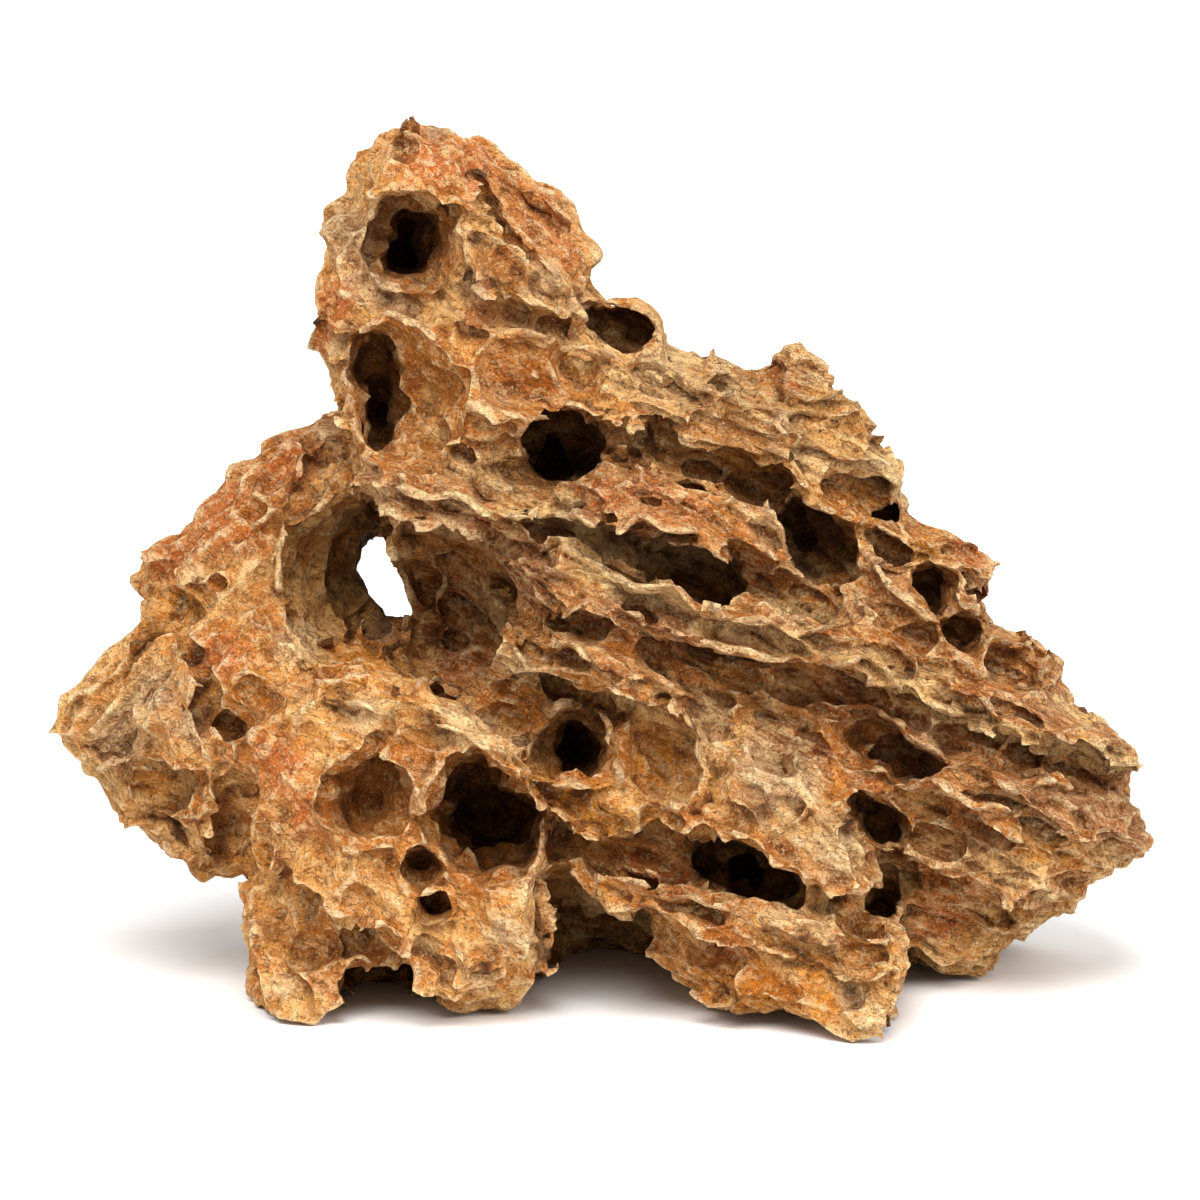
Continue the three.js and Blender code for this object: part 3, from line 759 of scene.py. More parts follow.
# Each row is the depth and the outline of the mouth.
HOLLOWS = tuple(
    Hollow(depth, mouth)
    for depth, *mouth in (
        # the peak
        (12, (-48.5, 169), (-44, 173), (-39, 174), (-34.5, 171), (-32.5, 165), (-33, 157),
            (-38, 153), (-43, 155), (-47, 162)),
        (20, *oval(-41.5, 162.5, 7.5, 5, 70)),
        (32, *oval(-42, 163.5, 5, 2.6, 75)),
        (19, (-56, 134), (-53, 141), (-48, 145), (-42, 144), (-36, 140), (-31, 136), (-29, 130),
            (-31, 120), (-36, 114), (-42, 112), (-48, 113), (-53, 122)),
        (40, (-52, 130), (-49, 134), (-45.5, 132), (-44, 125), (-45, 119.5), (-48, 117.5),
            (-51.5, 121)),
        (24, (-54.5, 138), (-51, 143.5), (-46, 143.5), (-44, 138), (-45, 130), (-49, 126),
            (-53, 130)),
        (8, (-26, 139), (-22, 142), (-15, 140), (-10, 138), (-8, 133), (-9, 128), (-13, 126),
            (-19, 127), (-24, 130), (-27, 134)),
        (9, (-12, 138), (-8, 140), (-4, 138), (-1, 134), (-2, 131), (-6, 130), (-10, 133)),
        (12, (-11, 126), (-7, 127), (-3, 125), (0, 120), (-1, 115), (-6, 113), (-10, 118)),
        (16, (-16, 121), (-12, 122), (-6, 118), (-4, 113), (-9, 112), (-12, 110), (-16, 112),
            (-18, 116)),
        (32, (-14, 118), (-10, 120), (-7, 116), (-6, 113), (-10, 112), (-14, 113)),
        (4.5, (-2, 146), (1, 146.5), (5, 144.5), (8.5, 142), (8, 138.5), (6, 137), (3, 138),
            (0, 142)),
        (5, (10, 142), (12.5, 142), (12.5, 140), (10, 139.5)),
        (5, (-24, 161), (-20, 160), (-17, 155), (-16, 151), (-20, 152), (-23, 156)),
        # the crest
        (9, (22, 133.5), (27, 134), (31, 135), (31, 132), (27, 130.7), (23, 132)),
        (6, (20, 124), (27, 126), (34, 125), (40, 121), (45, 117), (42, 113), (34, 114),
            (26, 117), (19, 120)),
        (9, (25, 112), (32, 113), (39, 111), (44, 108), (42, 104), (36, 104), (30, 106), (26, 109)),
        (15, (50, 112), (55, 113), (60, 110), (64, 106), (65, 101.5), (61, 100.5), (55, 103),
            (51, 107)),
        (20, *oval(60.7, 104.3, 1.9, 2.1)),
        (13, (40, 106), (45, 106), (50, 103), (54, 98), (55, 93), (52, 90), (47, 90), (43, 94),
            (40, 100)),
        (32, (40, 104), (44, 105), (47, 101), (47, 97), (45, 95), (42, 97), (40, 100)),
        (9, (12, 95), (17, 98), (22, 99), (26, 95), (29, 91), (32, 87), (29, 83), (22, 83),
            (18, 87), (14, 92)),
        (8, (27, 98), (34, 97), (38, 93), (37, 87), (32, 87), (28, 92)),
        (10, (41, 88), (45, 89.5), (50, 89), (51, 86), (50, 82), (47, 81), (43, 84)),
        (18, (69, 90), (73, 91), (76, 88), (77, 85), (75, 82), (72, 83), (69.5, 86)),
        (16, (74, 80), (78, 80), (81, 77), (79, 74.5), (75.5, 76)),
        (5, (63, 79.5), (68, 80), (71.5, 79), (72, 76), (69, 75), (65, 77)),
        (10, (84, 71), (86, 75), (91, 77), (96, 75), (98, 71), (96, 67), (91, 65), (87, 66)),
        (17, *oval(93.3, 72, 2.0, 2.4)),
        # the long beds
        (9, (38, 71), (44, 72), (51, 70), (58, 67), (64, 63), (68, 60.5), (62, 60), (54, 62),
            (46, 64), (40, 67)),
        (9, (49, 58), (55, 59.5), (61, 57), (67, 53), (64, 51), (57, 52.5), (52, 54)),
        (12, (53, 53), (60, 52), (68, 50), (73, 48), (70, 45.5), (62, 47), (55, 49)),
        (22, (53, 43), (58, 42), (63, 40), (65, 36), (62, 34), (59, 36), (56, 39)),
        (7, (67, 34), (72, 36), (78, 33), (78, 29), (72, 29)),
        (9, (62, 26), (70, 27), (80, 25), (87, 21), (84, 18), (76, 19), (66, 20)),
        (9, (95, 55), (100, 53.5), (106, 49), (111, 46), (108, 43.5), (101, 45), (96, 49)),
        (11, (99, 26), (103, 27), (107, 25), (106, 22), (102, 20), (99, 22)),
        (8, *oval(92, 18.5, 4, 2.6, -20)),
        (4, *oval(6, 75, 8, 2.2, -24)),
        # the nose and what lies round it
        (13, (3, 60), (8, 63), (14, 62), (18, 58), (20.5, 51), (19.5, 45), (15, 42), (9, 43),
            (6, 47), (4, 54)),
        (11, (-13, 60), (-9, 62), (-5, 61), (-1, 58), (1, 53), (2, 49), (0, 46), (-5, 46.5),
            (-10, 49), (-15, 54)),
        (32, (-9, 57), (-5, 58), (-1, 55), (-1, 50), (-5, 48), (-9, 49), (-11, 53)),
        (8, (-10, 68), (-7, 69.5), (-2, 67.5), (2, 64), (1, 61.5), (-4, 62), (-8, 64.5)),
        (6, (-23, 63), (-19, 65), (-14, 64), (-12, 61), (-13, 57), (-17, 56), (-21, 58)),
        (8, (8.5, 38), (11, 41), (15, 40), (16, 36), (13, 34), (10, 35)),
        (10, (16, 31), (20, 33), (28, 33), (34, 31), (38, 28), (43, 25), (48, 20.5), (42, 19.5),
            (34, 20), (28, 20.5), (22, 23), (17, 27)),
        (26, (27, 29), (33, 28), (37, 24), (36, 22), (31, 22), (27, 25)),
        (18, (19, 30), (23, 31), (25, 28), (24, 25), (20, 27)),
        (22, (50, 18), (54, 20), (60, 20), (62, 17), (60, 12), (56, 11), (52, 13)),
        (8, (-10, 28), (-5, 29.5), (-1, 27), (-2, 23), (-6, 21), (-10, 23)),
        (4, (18, 14), (28, 12), (38, 6), (44, -1), (34, -2), (24, 2), (17, 8)),
        # the block on two legs
        (42, (-34, 50.5), (-28, 52), (-22, 48), (-16, 42), (-13, 36), (-12, 30), (-16, 25),
            (-24, 23), (-31, 25), (-36, 31), (-38, 38), (-37, 45)),
        (52, (-34, 49), (-26, 50), (-19, 43), (-15, 35), (-22, 29), (-32, 33), (-36, 41)),
        (20, (-60, 45), (-57, 50), (-51, 52), (-45, 50), (-42.5, 44), (-43, 37), (-49, 33),
            (-56, 35), (-61, 40)),
        (14, *oval(-39, 27, 3.8, 3.6)),
        (12, *oval(-36.5, 19.5, 2.8, 2.2)),
        (8, *oval(-49, 54, 3, 2.4)),
        (4, (-46, 53), (-43, 57), (-38, 57), (-35, 53), (-36, 47), (-40, 44), (-44, 45), (-46, 49)),
        (8, (-43, 73), (-40, 75), (-35, 74), (-34, 70), (-37, 67.5), (-41, 69)),
        (7, (-62, 71), (-57, 75), (-51, 76), (-50, 72), (-56, 69.5), (-61, 68)),
        (9, (-69, 10), (-66, 16), (-60, 17), (-56, 13), (-57, 7), (-64, 5)),
        (9, *oval(-47, 12, 4, 3)),
        (30, (-53, 2), (-51, 8), (-46, 9), (-41, 7), (-40, 2), (-43, -2), (-50, -2)),
        (6, (-80, 33), (-76, 35), (-72, 31), (-72, 22), (-76, 19), (-79, 25)),
        # the wedge, the cheek and the shoulder
        (9, (-106, 47), (-100, 50), (-92, 49), (-87, 46), (-87, 40), (-92, 37), (-99, 39),
            (-105, 42)),
        (4, (-99, 87), (-92, 88), (-85, 86), (-84, 81), (-92, 79), (-100, 81)),
        (14, *oval(-80.5, 57.5, 3.4, 3.4)),
        (6, *oval(-75, 63.5, 4.4, 3)),
        (8, *oval(-73, 83, 3, 2.4)),
        (4, *oval(-77, 105, 3.6, 3)),
        (10, *oval(-102.5, 87, 2.6, 1.8)),
        (8, *oval(-84, 89, 2.6, 1.8)),
        # pits of the tunnel's bowls
        (8, *oval(-38, 90, 3, 5)),
        (7, *oval(-32, 76, 4, 3.4)),
        (6, *oval(-30, 92, 3.4, 4)),
        (7, *oval(-27, 68, 3, 3.4)),
    )
)

# The stone's edge as it is seen from the front, clockwise from the peak.
OUTLINE = (
    (-46, 188), (-43, 190), (-38, 189), (-33, 187.5), (-30.5, 186), (-27, 186.5), (-23, 184),
    (-21, 181), (-18, 180), (-16, 177), (-12, 176.5), (-9, 174), (-6, 171), (-5.5, 169), (-4, 165),
    (-1, 162), (0.5, 160), (0, 158), (-3, 157), (-2, 153), (1, 151), (4, 150), (8, 150.5),
    (11, 148), (14, 144.5), (14, 142), (17, 139.5), (21, 139.5), (25, 139), (28, 137), (31, 135),
    (35, 135.5), (37, 138), (41, 141), (44, 141.5), (46, 138.5), (49, 137), (51, 133), (54, 129),
    (57, 127.5), (58.5, 125), (60, 121), (63, 119), (65.5, 114), (66, 110), (67, 107), (67.5, 104),
    (70, 101.5), (72, 101), (77, 99.5), (79, 98.5), (82, 96), (85.5, 94), (87, 92), (86, 90),
    (84, 88), (84.5, 84), (85, 81), (88, 78.5), (91, 78.5), (94, 77.5), (97, 75), (100, 72),
    (100.5, 70), (101, 67), (103, 63), (106, 61), (109, 60), (111, 57), (113, 55), (115.5, 53.5),
    (116, 51), (117.5, 48), (117, 46.5), (115, 46), (114.5, 44), (116, 41), (117, 39), (118, 37),
    (120, 34), (120, 31), (118.5, 29.5), (114, 27.5), (110, 25), (107, 24), (105, 21.5), (104, 19),
    (102.5, 17), (98, 16.5), (95.5, 14.5), (94, 11.5), (91, 11), (88, 9.5), (85, 5), (84, 3.5),
    (80, 3), (74, 4), (69, 5), (68, 7), (66, 3), (65, -1), (63, -8), (60, -10), (55, -10.5),
    (51, -9), (47, -6.5), (43, -5.5), (38, -4), (34, -5), (27, -4.5), (22, -2.5), (20, 0), (15, 3),
    (13, 5), (5, 5), (-4, 6), (-10, 5), (-12, 3), (-15, 2.5), (-17, -1), (-19, -3.5), (-24, -4),
    (-28, -5.5), (-32, -5), (-35, -2.5), (-40, -0.5), (-46, 0), (-52, 0), (-56, -2), (-58, -4),
    (-60, -4), (-62, -7), (-65, -7), (-68, -6), (-72, -5.5), (-75, -3), (-78, 0), (-77, 4),
    (-76.5, 8), (-78.5, 14), (-78, 20), (-80, 23.5), (-84, 24), (-87, 23.5), (-89, 25), (-91, 28),
    (-95, 29), (-97, 32), (-99, 34.5), (-106, 37), (-107, 40), (-109, 43), (-110, 46.5), (-113, 48),
    (-113.5, 51), (-116, 53), (-119.5, 54.5), (-120, 57), (-118, 60), (-118, 63), (-115, 66),
    (-111, 69), (-109, 72), (-106, 75.5), (-102, 78), (-100.5, 80), (-100, 86), (-102, 87),
    (-102.5, 89), (-101, 92), (-101, 95), (-98, 98), (-94, 99), (-91, 101), (-89, 104),
    (-87, 106.5), (-84, 108), (-82.5, 110), (-82, 113), (-80, 115), (-77, 115), (-74, 119),
    (-71, 120.5), (-67, 122.5), (-63, 123), (-61, 126), (-59, 127.5), (-58, 130), (-59, 133),
    (-60, 136), (-62, 139), (-64, 140), (-63, 145), (-62, 147), (-61.5, 150), (-62.5, 153),
    (-61, 156.5), (-60, 158), (-60.5, 162), (-61.5, 165), (-61, 168), (-58, 172), (-55, 173),
    (-56, 176), (-54.5, 180), (-53, 183), (-49, 185), (-47, 187),
)

# The daylight through the tunnel, anticlockwise from its top.
DAYLIGHT = (
    (-50, 99), (-53, 95), (-53, 91), (-51, 87), (-49, 84), (-45, 81.5), (-42, 82), (-42, 86),
    (-42.5, 90), (-45, 92), (-47, 96), (-48, 98),
)

# ---- Which way the stone's grain runs ----


@dataclass(frozen=True)
class GrainPatch:
    """A part of the face whose flakes run one way."""

    across: float
    up: float
    reach: float  # how far its say carries
    heading: float  # degrees from across towards up
    stretch: float  # how much longer than wide its flakes are
    bedding: float  # how much the beds show there, 0 to 1


GRAIN = (
    GrainPatch(40, 128, 22, -25, 6.0, 1.0),
    GrainPatch(30, 95, 30, -24, 6.0, 0.8),
    GrainPatch(0, 105, 22, -20, 4.5, 0.8),
    GrainPatch(70, 75, 26, -28, 6.0, 0.9),
    GrainPatch(100, 45, 26, -28, 6.5, 1.0),
    GrainPatch(80, 25, 20, -24, 4.0, 0.7),
    GrainPatch(0, 82, 20, -20, 6.5, 1.0),
    GrainPatch(-38, 107, 16, -18, 7.0, 1.0),
    GrainPatch(40, 45, 18, -36, 1.8, 0.2),
    GrainPatch(10, 50, 16, -60, 1.6, 0.1),
    GrainPatch(40, 8, 20, -20, 3.2, 0.4),
    GrainPatch(10, 26, 14, -18, 4.5, 0.7),
    GrainPatch(-25, 40, 22, 70, 1.4, 0.05),
    GrainPatch(-60, 30, 22, 80, 1.7, 0.1),
    GrainPatch(-45, 60, 16, -8, 2.2, 0.3),
    GrainPatch(-70, 0, 16, 90, 1.6, 0.1),
    GrainPatch(-28, 5, 14, -60, 1.5, 0.1),
    GrainPatch(-110, 64, 12, 46, 8.0, 0.0),
    GrainPatch(-99, 64, 11, 66, 8.0, 0.0),
    GrainPatch(-89, 62, 10, 88, 6.0, 0.0),
    GrainPatch(-100, 42, 16, -20, 2.2, 0.4),
    GrainPatch(-78, 70, 14, 60, 1.6, 0.1),
    GrainPatch(-80, 105, 20, 42, 3.6, 0.2),
    GrainPatch(-56, 90, 16, 80, 1.6, 0.1),
    GrainPatch(-45, 130, 20, 80, 1.8, 0.05),
    GrainPatch(-42, 165, 20, 82, 1.6, 0.1),
    GrainPatch(-12, 165, 16, -50, 3.4, 0.2),
    GrainPatch(-15, 135, 16, -30, 2.2, 0.4),
)

BED_HEADING = math.radians(-25)
BED_DIP = 0.3  # how far the beds lean towards the front as they rise


@dataclass(frozen=True)
class Grain:
    """The grain over the whole stone, worked out from the patches."""

    patches: tuple[GrainPatch, ...] = GRAIN

    def shares(self, points: np.ndarray) -> np.ndarray:
        """Works out how much say each patch has at each place.

        Args:
            points: The places, as rows.

        Returns:
            One row for each place, which adds up to 1.
        """
        columns = []
        for patch in self.patches:
            gap = np.hypot(points[:, 0] - patch.across, points[:, 1] - patch.up)
            columns.append(np.exp(-((gap / patch.reach) ** 2)) + 1e-9)
        says = np.array(columns).T
        return says / says.sum(axis=1, keepdims=True)

    def heading(self, points: np.ndarray) -> np.ndarray:
        """Works out the grain's direction at each place.

        Args:
            points: The places, as rows.

        Returns:
            Unit rows in the face's plane.
        """
        angles = np.radians([patch.heading for patch in self.patches]) * 2
        says = self.shares(points)
        heading = np.arctan2(says @ np.sin(angles), says @ np.cos(angles)) / 2
        return np.stack([np.cos(heading), np.sin(heading), np.zeros(len(points))], axis=1)

    def stretch(self, points: np.ndarray) -> np.ndarray:
        """Returns how much longer than wide the flakes are at each place."""
        return self.shares(points) @ np.array([patch.stretch for patch in self.patches])

    def bedding(self, points: np.ndarray) -> np.ndarray:
        """Returns how much the beds show at each place."""
        return self.shares(points) @ np.array([patch.bedding for patch in self.patches])


# ---- Relief ----


class Columns:
    """Places sorted into columns, so that those near a spot are found quickly."""

    WIDTH = 4.0

    def __init__(self, points: np.ndarray) -> None:
        """Sorts the places by column, and by height in each.

        Args:
            points: The places, as rows.
        """
        self.low = points[:, 0].min()
        column = ((points[:, 0] - self.low) / self.WIDTH).astype(np.int64)
        self.order = np.lexsort((points[:, 1], column))
        self.starts = np.searchsorted(column[self.order], np.arange(column.max() + 2))
        self.heights = points[self.order, 1]

    def near(self, spot: np.ndarray, reach: float) -> np.ndarray:
        """Finds the places near a spot.

        Args:
            spot: The spot, of which only across and up count.
            reach: How far away, across or up, a place may be.

        Returns:
            The places' numbers.
        """
        first = max(int((spot[0] - reach - self.low) / self.WIDTH), 0)
        last = min(int((spot[0] + reach - self.low) / self.WIDTH), len(self.starts) - 2)
        found = []
        for column in range(first, last + 1):
            start, end = self.starts[column], self.starts[column + 1]
            low, high = np.searchsorted(self.heights[start:end], (spot[1] - reach, spot[1] + reach))
            found.append(self.order[start + low : start + high])
        return np.concatenate(found) if found else np.empty(0, dtype=np.int64)


@dataclass(frozen=True)
class Scallops:
    """One size of the shallow scoops that weathering leaves, which meet in sharp ridges."""

    spacing: float  # between the middles of neighbouring scoops
    depth: float  # how far the middle of a deep scoop is sunk
    variety: float  # how much neighbouring scoops differ in depth, 0 to 1
    tilt: float  # how much a scoop leans, as a slope
    seed: int
    yields: float  # how much shallower it is where the beds show, 0 to 1
    bite: float  # the largest share of the stone's thickness that it takes
    along_grain: float = 1.0  # how much the grain draws the scoops out
    reach: float = 1.5  # how far a scoop may reach, in spacings

    RIM = 0.72  # where a scoop's wall meets the old surface, in square spacings
    WOBBLE_SIZE = 0.6  # the size of the noise that bends the rims, in spacings
    WOBBLE = 0.13  # how far it bends them, in spacings
    FEWEST = 8

    def relief(self, surface: "Surface", grain: Grain) -> tuple[np.ndarray, np.ndarray]:
        """Works out how this layer moves the surface.

        Args:
            surface: The surface to break up.
            grain: The stone's grain.

        Returns:
            How far each vertex moves along its normal, and a number for each vertex, between 0 and
            1, that is the same all over one scoop.
        """
        draw = np.random.default_rng(self.seed)
        count = max(int(surface.area / self.spacing**2), self.FEWEST)
        picks = draw.choice(len(surface.points), min(count, len(surface.points)), replace=False)
        size = self.spacing * self.WOBBLE_SIZE
        wobble = [noise_at(surface.points, size, self.seed + axis) for axis in range(3)]
        points = surface.points + np.array(wobble).T * self.spacing * self.WOBBLE
        middles = points[picks]
        normals = surface.flow[picks]
        heading = grain.heading(middles)
        along = heading - normals * (heading * normals).sum(axis=1, keepdims=True)
        length = np.linalg.norm(along, axis=1, keepdims=True)
        along = np.where(length > 1e-3, along / np.maximum(length, 1e-3), normals[:, [1, 2, 0]])
        side = np.cross(normals, along)
        drawn = (grain.stretch(middles) - 1) * np.clip(length[:, 0], 0, 1)
        stretch = 1 + drawn * self.along_grain
        columns = Columns(points)
        level = np.full(len(points), self.RIM)
        lot = np.zeros(len(points))
        starts = draw.random(len(picks)) * self.variety * self.RIM
        leans = draw.normal(0, self.tilt * self.RIM / self.depth, (len(picks), 2))
        lots = draw.random(len(picks))
        for number, middle in enumerate(middles):
            pull = math.sqrt(stretch[number])
            near = columns.near(middle, self.spacing * self.reach * pull)
            gap = points[near] - middle
            far = gap @ normals[number]
            run = gap @ along[number] / pull
            rise = gap @ side[number] * pull
            wall = (run * run + rise * rise + far * far) / self.spacing**2
            lean = leans[number, 0] * run + leans[number, 1] * rise
            mine = wall + lean + starts[number]
            lower = mine < level[near]
            level[near[lower]] = mine[lower]
            lot[near[lower]] = lots[number]
        return self.depth * (level / self.RIM - 1), lot


@dataclass(frozen=True)
class Bend:
    """A bending of the surface this way and that."""

    size: float  # over what length it bends
    amount: float
    seed: int


@dataclass(frozen=True)
class Bedding:
    """The beds of the stone: thin layers whose lower edges stand out over the next."""

    thickness: float
    relief_mm: float
    seed: int

    BEND, BEND_SIZE = 3.2, 34.0  # how far the beds bend up and down, and over what length
    RIPPLE, RIPPLE_SIZE = 1.0, 11.0
    UNDERCUT = 7  # how much steeper a bed's underside is than its top
    PATCH_SIZE = 22.0  # over what length a bed fades in and out
    APART = 31.0  # how far apart two beds sample the noise
    SCATTER = (12.9898, 43758.5453)  # turn a bed's number into a lot

    def level(self, points: np.ndarray) -> np.ndarray:
        """Works out how high each place lies across the beds.

        Args:
            points: The places, as rows.

        Returns:
            The heights, in beds.
        """
        rise = np.array([-math.sin(BED_HEADING), math.cos(BED_HEADING), BED_DIP])
        height = points @ (rise / np.linalg.norm(rise))
        bend = noise_at(points, self.BEND_SIZE, self.seed) * self.BEND
        bend += noise_at(points, self.RIPPLE_SIZE, self.seed + 1) * self.RIPPLE
        return (height + bend) / self.thickness

    def relief(self, points: np.ndarray) -> np.ndarray:
        """Works out how far the beds move each place along its normal.

        Args:
            points: The places, as rows.

        Returns:
            The distances, none of which leads off the stone.
        """
        level = self.level(points)
        share = level - np.floor(level)
        edge = np.minimum(share * self.UNDERCUT, 1 - share)
        highest = self.UNDERCUT / (self.UNDERCUT + 1)
        apart = points + np.floor(level)[:, None] * self.APART
        strength = 0.7 + 0.5 * noise_at(apart, self.PATCH_SIZE, self.seed + 2)
        return self.relief_mm * (edge - highest) * np.clip(strength, 0, 1)

    def lot(self, points: np.ndarray) -> np.ndarray:
        """Returns a number for each place, between 0 and 1, that is the same all along one bed."""
        bed = np.floor(self.level(points))
        return np.modf(np.abs(np.sin(bed * self.SCATTER[0]) * self.SCATTER[1]))[0]


class Surface:
    """The stone's surface while it is being weathered."""

    DEEP = 14.0  # how far the stone behind a place is looked for
    LEAST = 1.6  # the thinnest blade that carving leaves
    RIDGE = 0.35  # the height of a ridge that is not carved at all

    def __init__(self, made: bpy.types.Object) -> None:
        """Reads an object's mesh."""
        self.made = made
        self.read()

    def read(self) -> None:
        """Reads the vertices, their links and the smoothed normals."""
        mesh = self.made.data
        self.points = points_of(mesh)
        self.web = Web(mesh)
        flat = np.empty(len(mesh.vertices) * 3)
        mesh.vertex_normals.foreach_get("vector", flat)
        flow = self.web.even_out(flat.reshape(-1, 3), 4)
        self.flow = flow / np.maximum(np.linalg.norm(flow, axis=1, keepdims=True), 1e-6)
        areas = np.empty(len(mesh.polygons))
        mesh.polygons.foreach_get("area", areas)
        self.area = float(areas.sum())

    def place(self, points: np.ndarray) -> None:
        """Moves the vertices to the rows of `points`."""
        place_points(self.made.data, points)
        self.points = points_of(self.made.data)

    def move(self, distance: np.ndarray) -> None:
        """Moves each vertex along its smoothed normal."""
        self.place(self.points + self.flow * distance[:, None])

    def thickness(self) -> np.ndarray:
        """Works out how much stone may be carved away at each place.

        Returns:
            What lies behind each place beyond what must stay, up to about `DEEP`.
        """
        tree = tree_of(self.made.data)
        starts = (self.points - self.flow * 0.05).tolist()
        ways = (-self.flow).tolist()
        found = [tree.ray_cast(start, way, self.DEEP)[3] for start, way in zip(starts, ways)]
        depths = np.array([self.DEEP if depth is None else depth for depth in found])
        return np.maximum(self.web.even_out(depths, 2) - self.LEAST, 0)

    def leeway(self) -> np.ndarray:
        """Works out how freely each place may be carved.

        Returns:
            Shares from 0 on sharp ridges to 1 where it is flat.
        """
        ridges = self.height_over(self.web.even_out(self.points, 6))
        return self.web.even_out(np.clip(1 - ridges / self.RIDGE, 0, 1), 3)

    def height_over(self, evened: np.ndarray) -> np.ndarray:
        """Returns how far each vertex stands out from the evened surface."""
        return ((self.points - evened) * self.flow).sum(axis=1)

    def warp(self, bend: Bend, share: float | np.ndarray = 1.0) -> None:
        """Bends the surface, so that nothing on it stays round or straight.

        Args:
            bend: How it is bent.
            share: How much of that it gets, in all or at each vertex.
        """
        ways = np.array([noise_at(self.points, bend.size, bend.seed + axis) for axis in range(3)])
        self.place(self.points + (ways * (bend.amount * share)).T)

    def round_off(self, rounds: int) -> None:
        """Takes the hard edges off, by evening the surface out `rounds` times."""
        self.place(self.web.even_out(self.points, rounds))

    def blunt(self, rounds: int, start: float) -> None:
        """Draws in thorns and blunts the ridges.

        Args:
            rounds: How far round a vertex the surface is evened.
            start: How far a vertex stands out before it is drawn in, in units of the usual height.
        """
        share = np.clip(self.standing(rounds) - start, 0, 1)[:, None]
        evened = self.web.even_out(self.points, rounds)
        self.place(self.points + (evened - self.points) * share)

    def standing(self, rounds: int) -> np.ndarray:
        """Works out how far each vertex stands out from its surroundings.

        Args:
            rounds: How often the surface that it is held against is evened out.

        Returns:
            The heights, in units of their usual size.
        """
        height = self.height_over(self.web.even_out(self.points, rounds))
        return height / height.std()


@dataclass(frozen=True)
class Edge:
    """An edge of the stone against the light, as it is seen from the front."""

    outline: tuple[Spot, ...]  # with the stone on the right-hand side of its run
    reach: float = 11.0  # how far from the outline the stone's edge is looked for

    STEP = 1.5  # between two points of the line
    LOOK = 0.5  # between two looks for the edge
    SPARE = 0.8  # what the finer flakes take off the edge later
    BLEND = 1.6  # how many widths of the line have their full say at one place
    CELL = 4.0  # a cell of the map of what lies near the line
    CELLS = 80
    ORIGIN = np.array([40, 20])  # the cell of the face frame's origin
    BATCH = 20_000  # vertices worked on at once

    def line(self) -> tuple[np.ndarray, np.ndarray]:
        """Works out a line of even points along the outline.

        Returns:
            The points, and the directions that lead off the stone there.
        """
        corners = np.array([*self.outline, self.outline[0]], dtype=float)
        points = []
        for start, end in zip(corners, corners[1:]):
            count = max(round(float(np.linalg.norm(end - start)) / self.STEP), 1)
            points.extend(start + (end - start) * share / count for share in range(count))
        line = np.array(points)
        ahead = np.roll(line, -2, axis=0) - np.roll(line, 2, axis=0)
        off = np.column_stack([-ahead[:, 1], ahead[:, 0]])
        return line, off / np.maximum(np.linalg.norm(off, axis=1, keepdims=True), 1e-6)

    def draw_to(self, made: bpy.types.Object, width: float) -> None:
        """Draws the stone's edge out or in to the outline.

        Args:
            made: The stone.
            width: How far into the stone the pull is felt.
        """
        ground = Ground(made)
        line, off = self.line()
        starts, pulls = [], []
        for spot, way in zip(line, off):
            steps = np.arange(-self.reach, self.reach + 0.1, self.LOOK)
            shows = np.array([ground.shows(spot + way * step) for step in steps])
            ends = steps[:-1][shows[:-1] & ~shows[1:]] + self.LOOK / 2 - self.SPARE
            if len(ends):
                end = ends[np.abs(ends).argmin()]
                starts.append(spot + way * end)
                pulls.append(-way * end)
        starts, pulls = np.array(starts), np.array(pulls)
        points = points_of(made.data)
        seen = VIEWER[:2] + (points[:, :2] - VIEWER[:2]) / (1 - points[:, 2:] / VIEWER.z)
        near = np.zeros((self.CELLS, self.CELLS), dtype=bool)
        for sideways in (-1, 0, 1):
            for upwards in (-1, 0, 1):
                aside = np.array([sideways, upwards]) * 2 * width
                near[self.cells(starts + aside)] = True
        pulled = np.nonzero(near[self.cells(seen)])[0]
        for rows in np.array_split(pulled, len(pulled) // self.BATCH + 1):
            gap = seen[rows, None, :] - starts[None, :, :]
            say = np.exp(-(gap**2).sum(axis=2) / width**2)
            total = say.sum(axis=1, keepdims=True)
            share = np.minimum(total * self.STEP / (self.BLEND * width), 1)
            points[rows, :2] += say @ pulls / np.maximum(total, 1e-9) * share
        place_points(made.data, points)

    def cells(self, spots: np.ndarray) -> tuple[np.ndarray, ...]:
        """Returns the columns and the rows of the cells that spots on the face lie in."""
        return tuple((np.floor(spots / self.CELL).astype(int) + self.ORIGIN).T)


# ---- Marks and stains ----


class Guide(Enum):
    """What can say where a coat of colour lies: a mark on the mesh, or a pattern of the finish."""

    FLAKE = "flake"  # the same all over one flake
    CHIP = "chip"  # the same all over one chip
    # EDGE, RISE and SINK place painted highlights on what stands out and painted shade in what lies
    # low
    EDGE = "edge"  # stands out from what lies close round it
    RISE = "rise"  # stands out from what lies farther round
    SINK = "sink"  # stands out from what lies far round; low in dips
    HOLLOW = "hollow"  # the walls of the hollows
    BEDDING = "bedding"  # how much the beds show
    BED = "bed"  # the same all along one bed
    # high where the open air is shut off; its coats paint shade there
    OCCLUSION_SHADE = "shelter"  # how far it is shut off from the open air
    CLOUDS = "clouds"  # broad patches
    BLOTS = "blots"  # small patches
    RUST = "rust"
    GREY = "grey"
    CREAM = "cream"
    OCHRE = "ochre"
    MOTTLE = "mottle"
    GRIT = "grit"
    STREAKS = "streaks"
    FLECKS = "flecks"
    CRACKS = "cracks"
    # dark spots of painted shade, as if in small pits
    PIT_SHADE = "pits"


